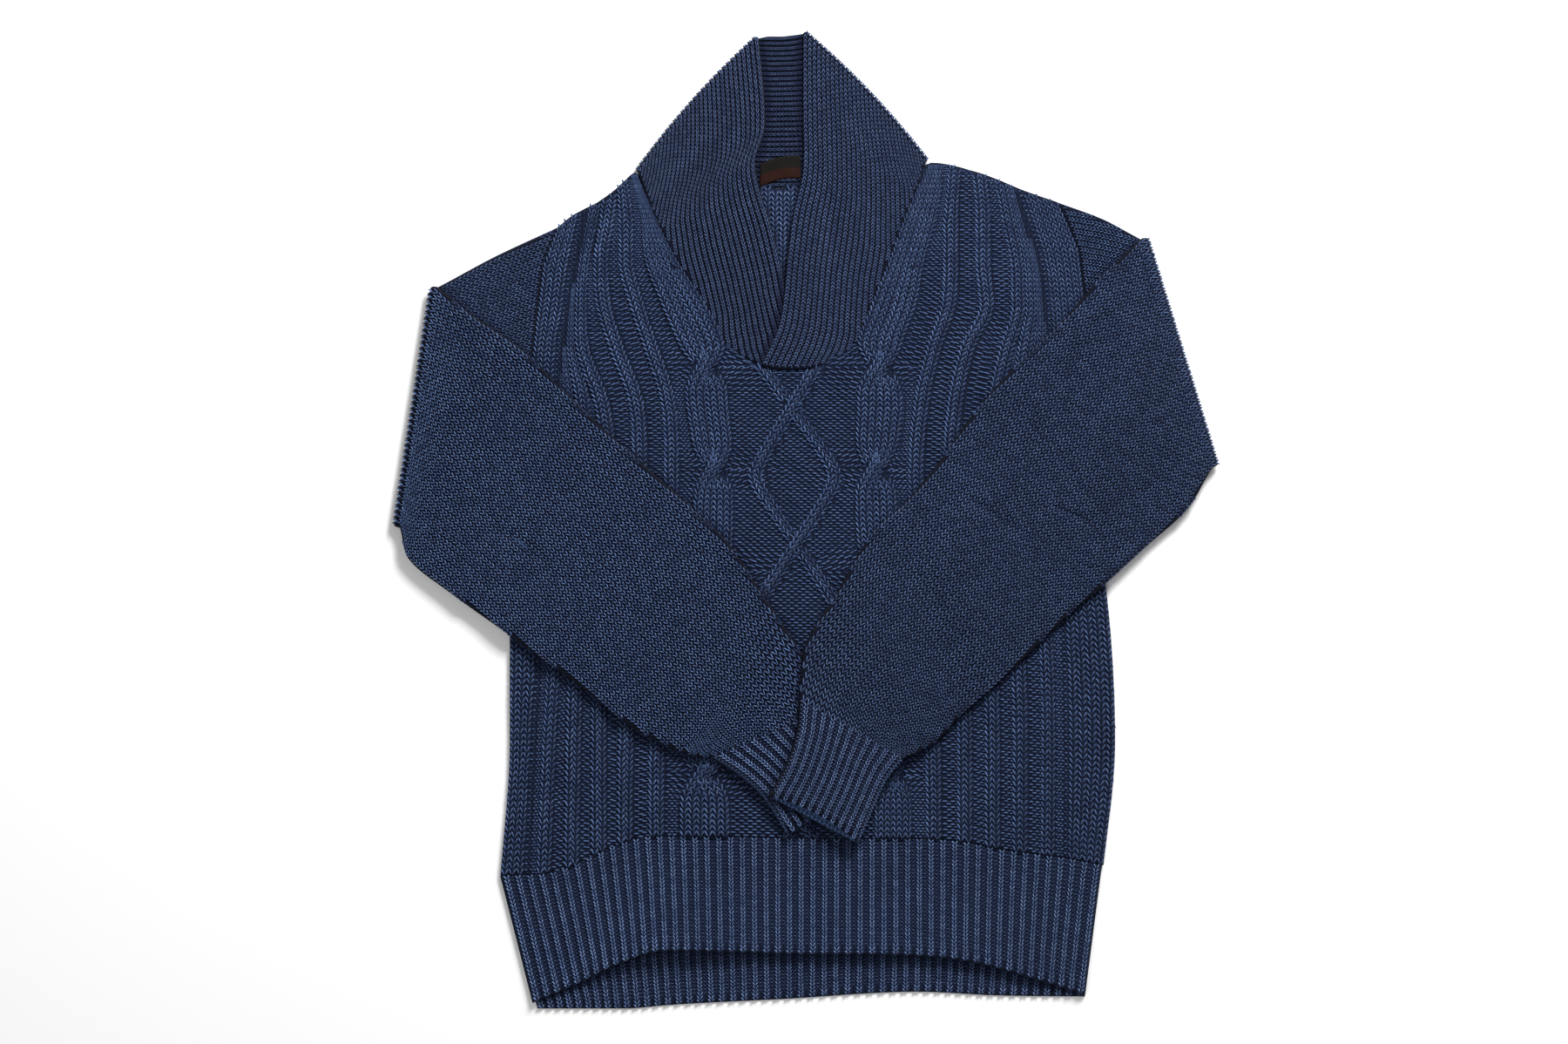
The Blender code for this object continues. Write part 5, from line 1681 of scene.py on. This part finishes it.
# %% The neck label
LABEL_LEFT, LABEL_RIGHT = -37.0, -3.0
LABEL_BOTTOM_LEFT, LABEL_BOTTOM_RIGHT = 279.0, 286.0
LABEL_HEIGHT = 19.0
LABEL_ARCH = 2.5
LABEL_THICKNESS = 0.6
LABEL_LOW = WALL + LAY_GAP + 0.45       # above the back, the gap and a little air
LABEL_WIDTH = LABEL_RIGHT - LABEL_LEFT
LABEL_BAND = 9.0        # height of the rust-brown part
THREAD = 0.45


def label_material():
    material, tree, shader = new_material("label_weave", 0.7, 0.1)
    spot = node(tree, "ShaderNodeUVMap", {"uv_map": "knit"}).outputs["UV"]
    parts = node(tree, "ShaderNodeSeparateXYZ", Vector=spot)
    upper = sums(tree, "GREATER_THAN", parts.outputs["Y"], LABEL_BAND)
    warp = sums(tree, "SINE", sums(tree, "MULTIPLY", parts.outputs["X"], 2 * pi / THREAD))
    weft = sums(tree, "SINE", sums(tree, "MULTIPLY", parts.outputs["Y"], 2 * pi / THREAD))
    weave = sums(tree, "MULTIPLY", warp, weft)
    light = sums(tree, "ADD", sums(tree, "MULTIPLY", weave, 0.25), 0.5)
    rust = blended(tree, light, linear((24, 9, 6)), linear((46, 21, 13)))
    dark = blended(tree, light, linear((10, 9, 8)), linear((24, 21, 18)))
    dressed_shader(tree, shader, blended(tree, upper, rust, dark), weave, 0.4, 0.0002)
    return material


share, up = np.meshgrid(np.linspace(0, 1, 25), np.linspace(0, LABEL_HEIGHT, 13))
foot = mix(LABEL_BOTTOM_LEFT, LABEL_BOTTOM_RIGHT, share) + LABEL_ARCH * np.sin(pi * share)
edge = np.minimum(np.minimum(share, 1 - share) * LABEL_WIDTH, np.minimum(up, LABEL_HEIGHT - up))
face = np.stack([mix(LABEL_LEFT, LABEL_RIGHT, share), foot + up,
                 LABEL_LOW + LABEL_THICKNESS - 0.3 * (1 - np.clip(edge / 1.5, 0, 1)) ** 2
                 + 0.25 * np.sin(share * 9 + up / 4) * np.clip(edge / 4, 0, 1)], axis=2)
lining = np.stack([face[..., 0], face[..., 1], np.full(face.shape[:2], LABEL_LOW)], axis=2)
label = cloth_wall("label_cloth", face, lining, np.stack([share * LABEL_WIDTH, up], axis=2),
                   label_material(), every=2)

# %% [markdown]
# ## Pieces and their solids
#
# Each wall stands for the solid of its piece, whose own mesh is hidden, and each piece of cloth
# prints half its surface and its thickness.

# %% What stands for which solid, and the cloth's cut
for piece, solid in ((left_sleeve, "sleeve_left"), (right_sleeve, "sleeve_right"), (left_cuff, "cuff_left"),
                     (right_cuff, "cuff_right"), (collar, "collar"), (front, "front_panel"),
                     (front_hem, "front_hem_rib"), (back_hem, "back_hem_rib"), (back, "back_panel"),
                     (label, "neck_label")):
    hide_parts(solid)
    bm = bmesh.new()
    bm.from_mesh(piece.data)
    area = sum(face.calc_area() for face in bm.faces)
    print(piece.name, "half surface", round(area / 2, 4), "thickness mm", round(2000 * bm.calc_volume() / area, 2))
    bm.free()
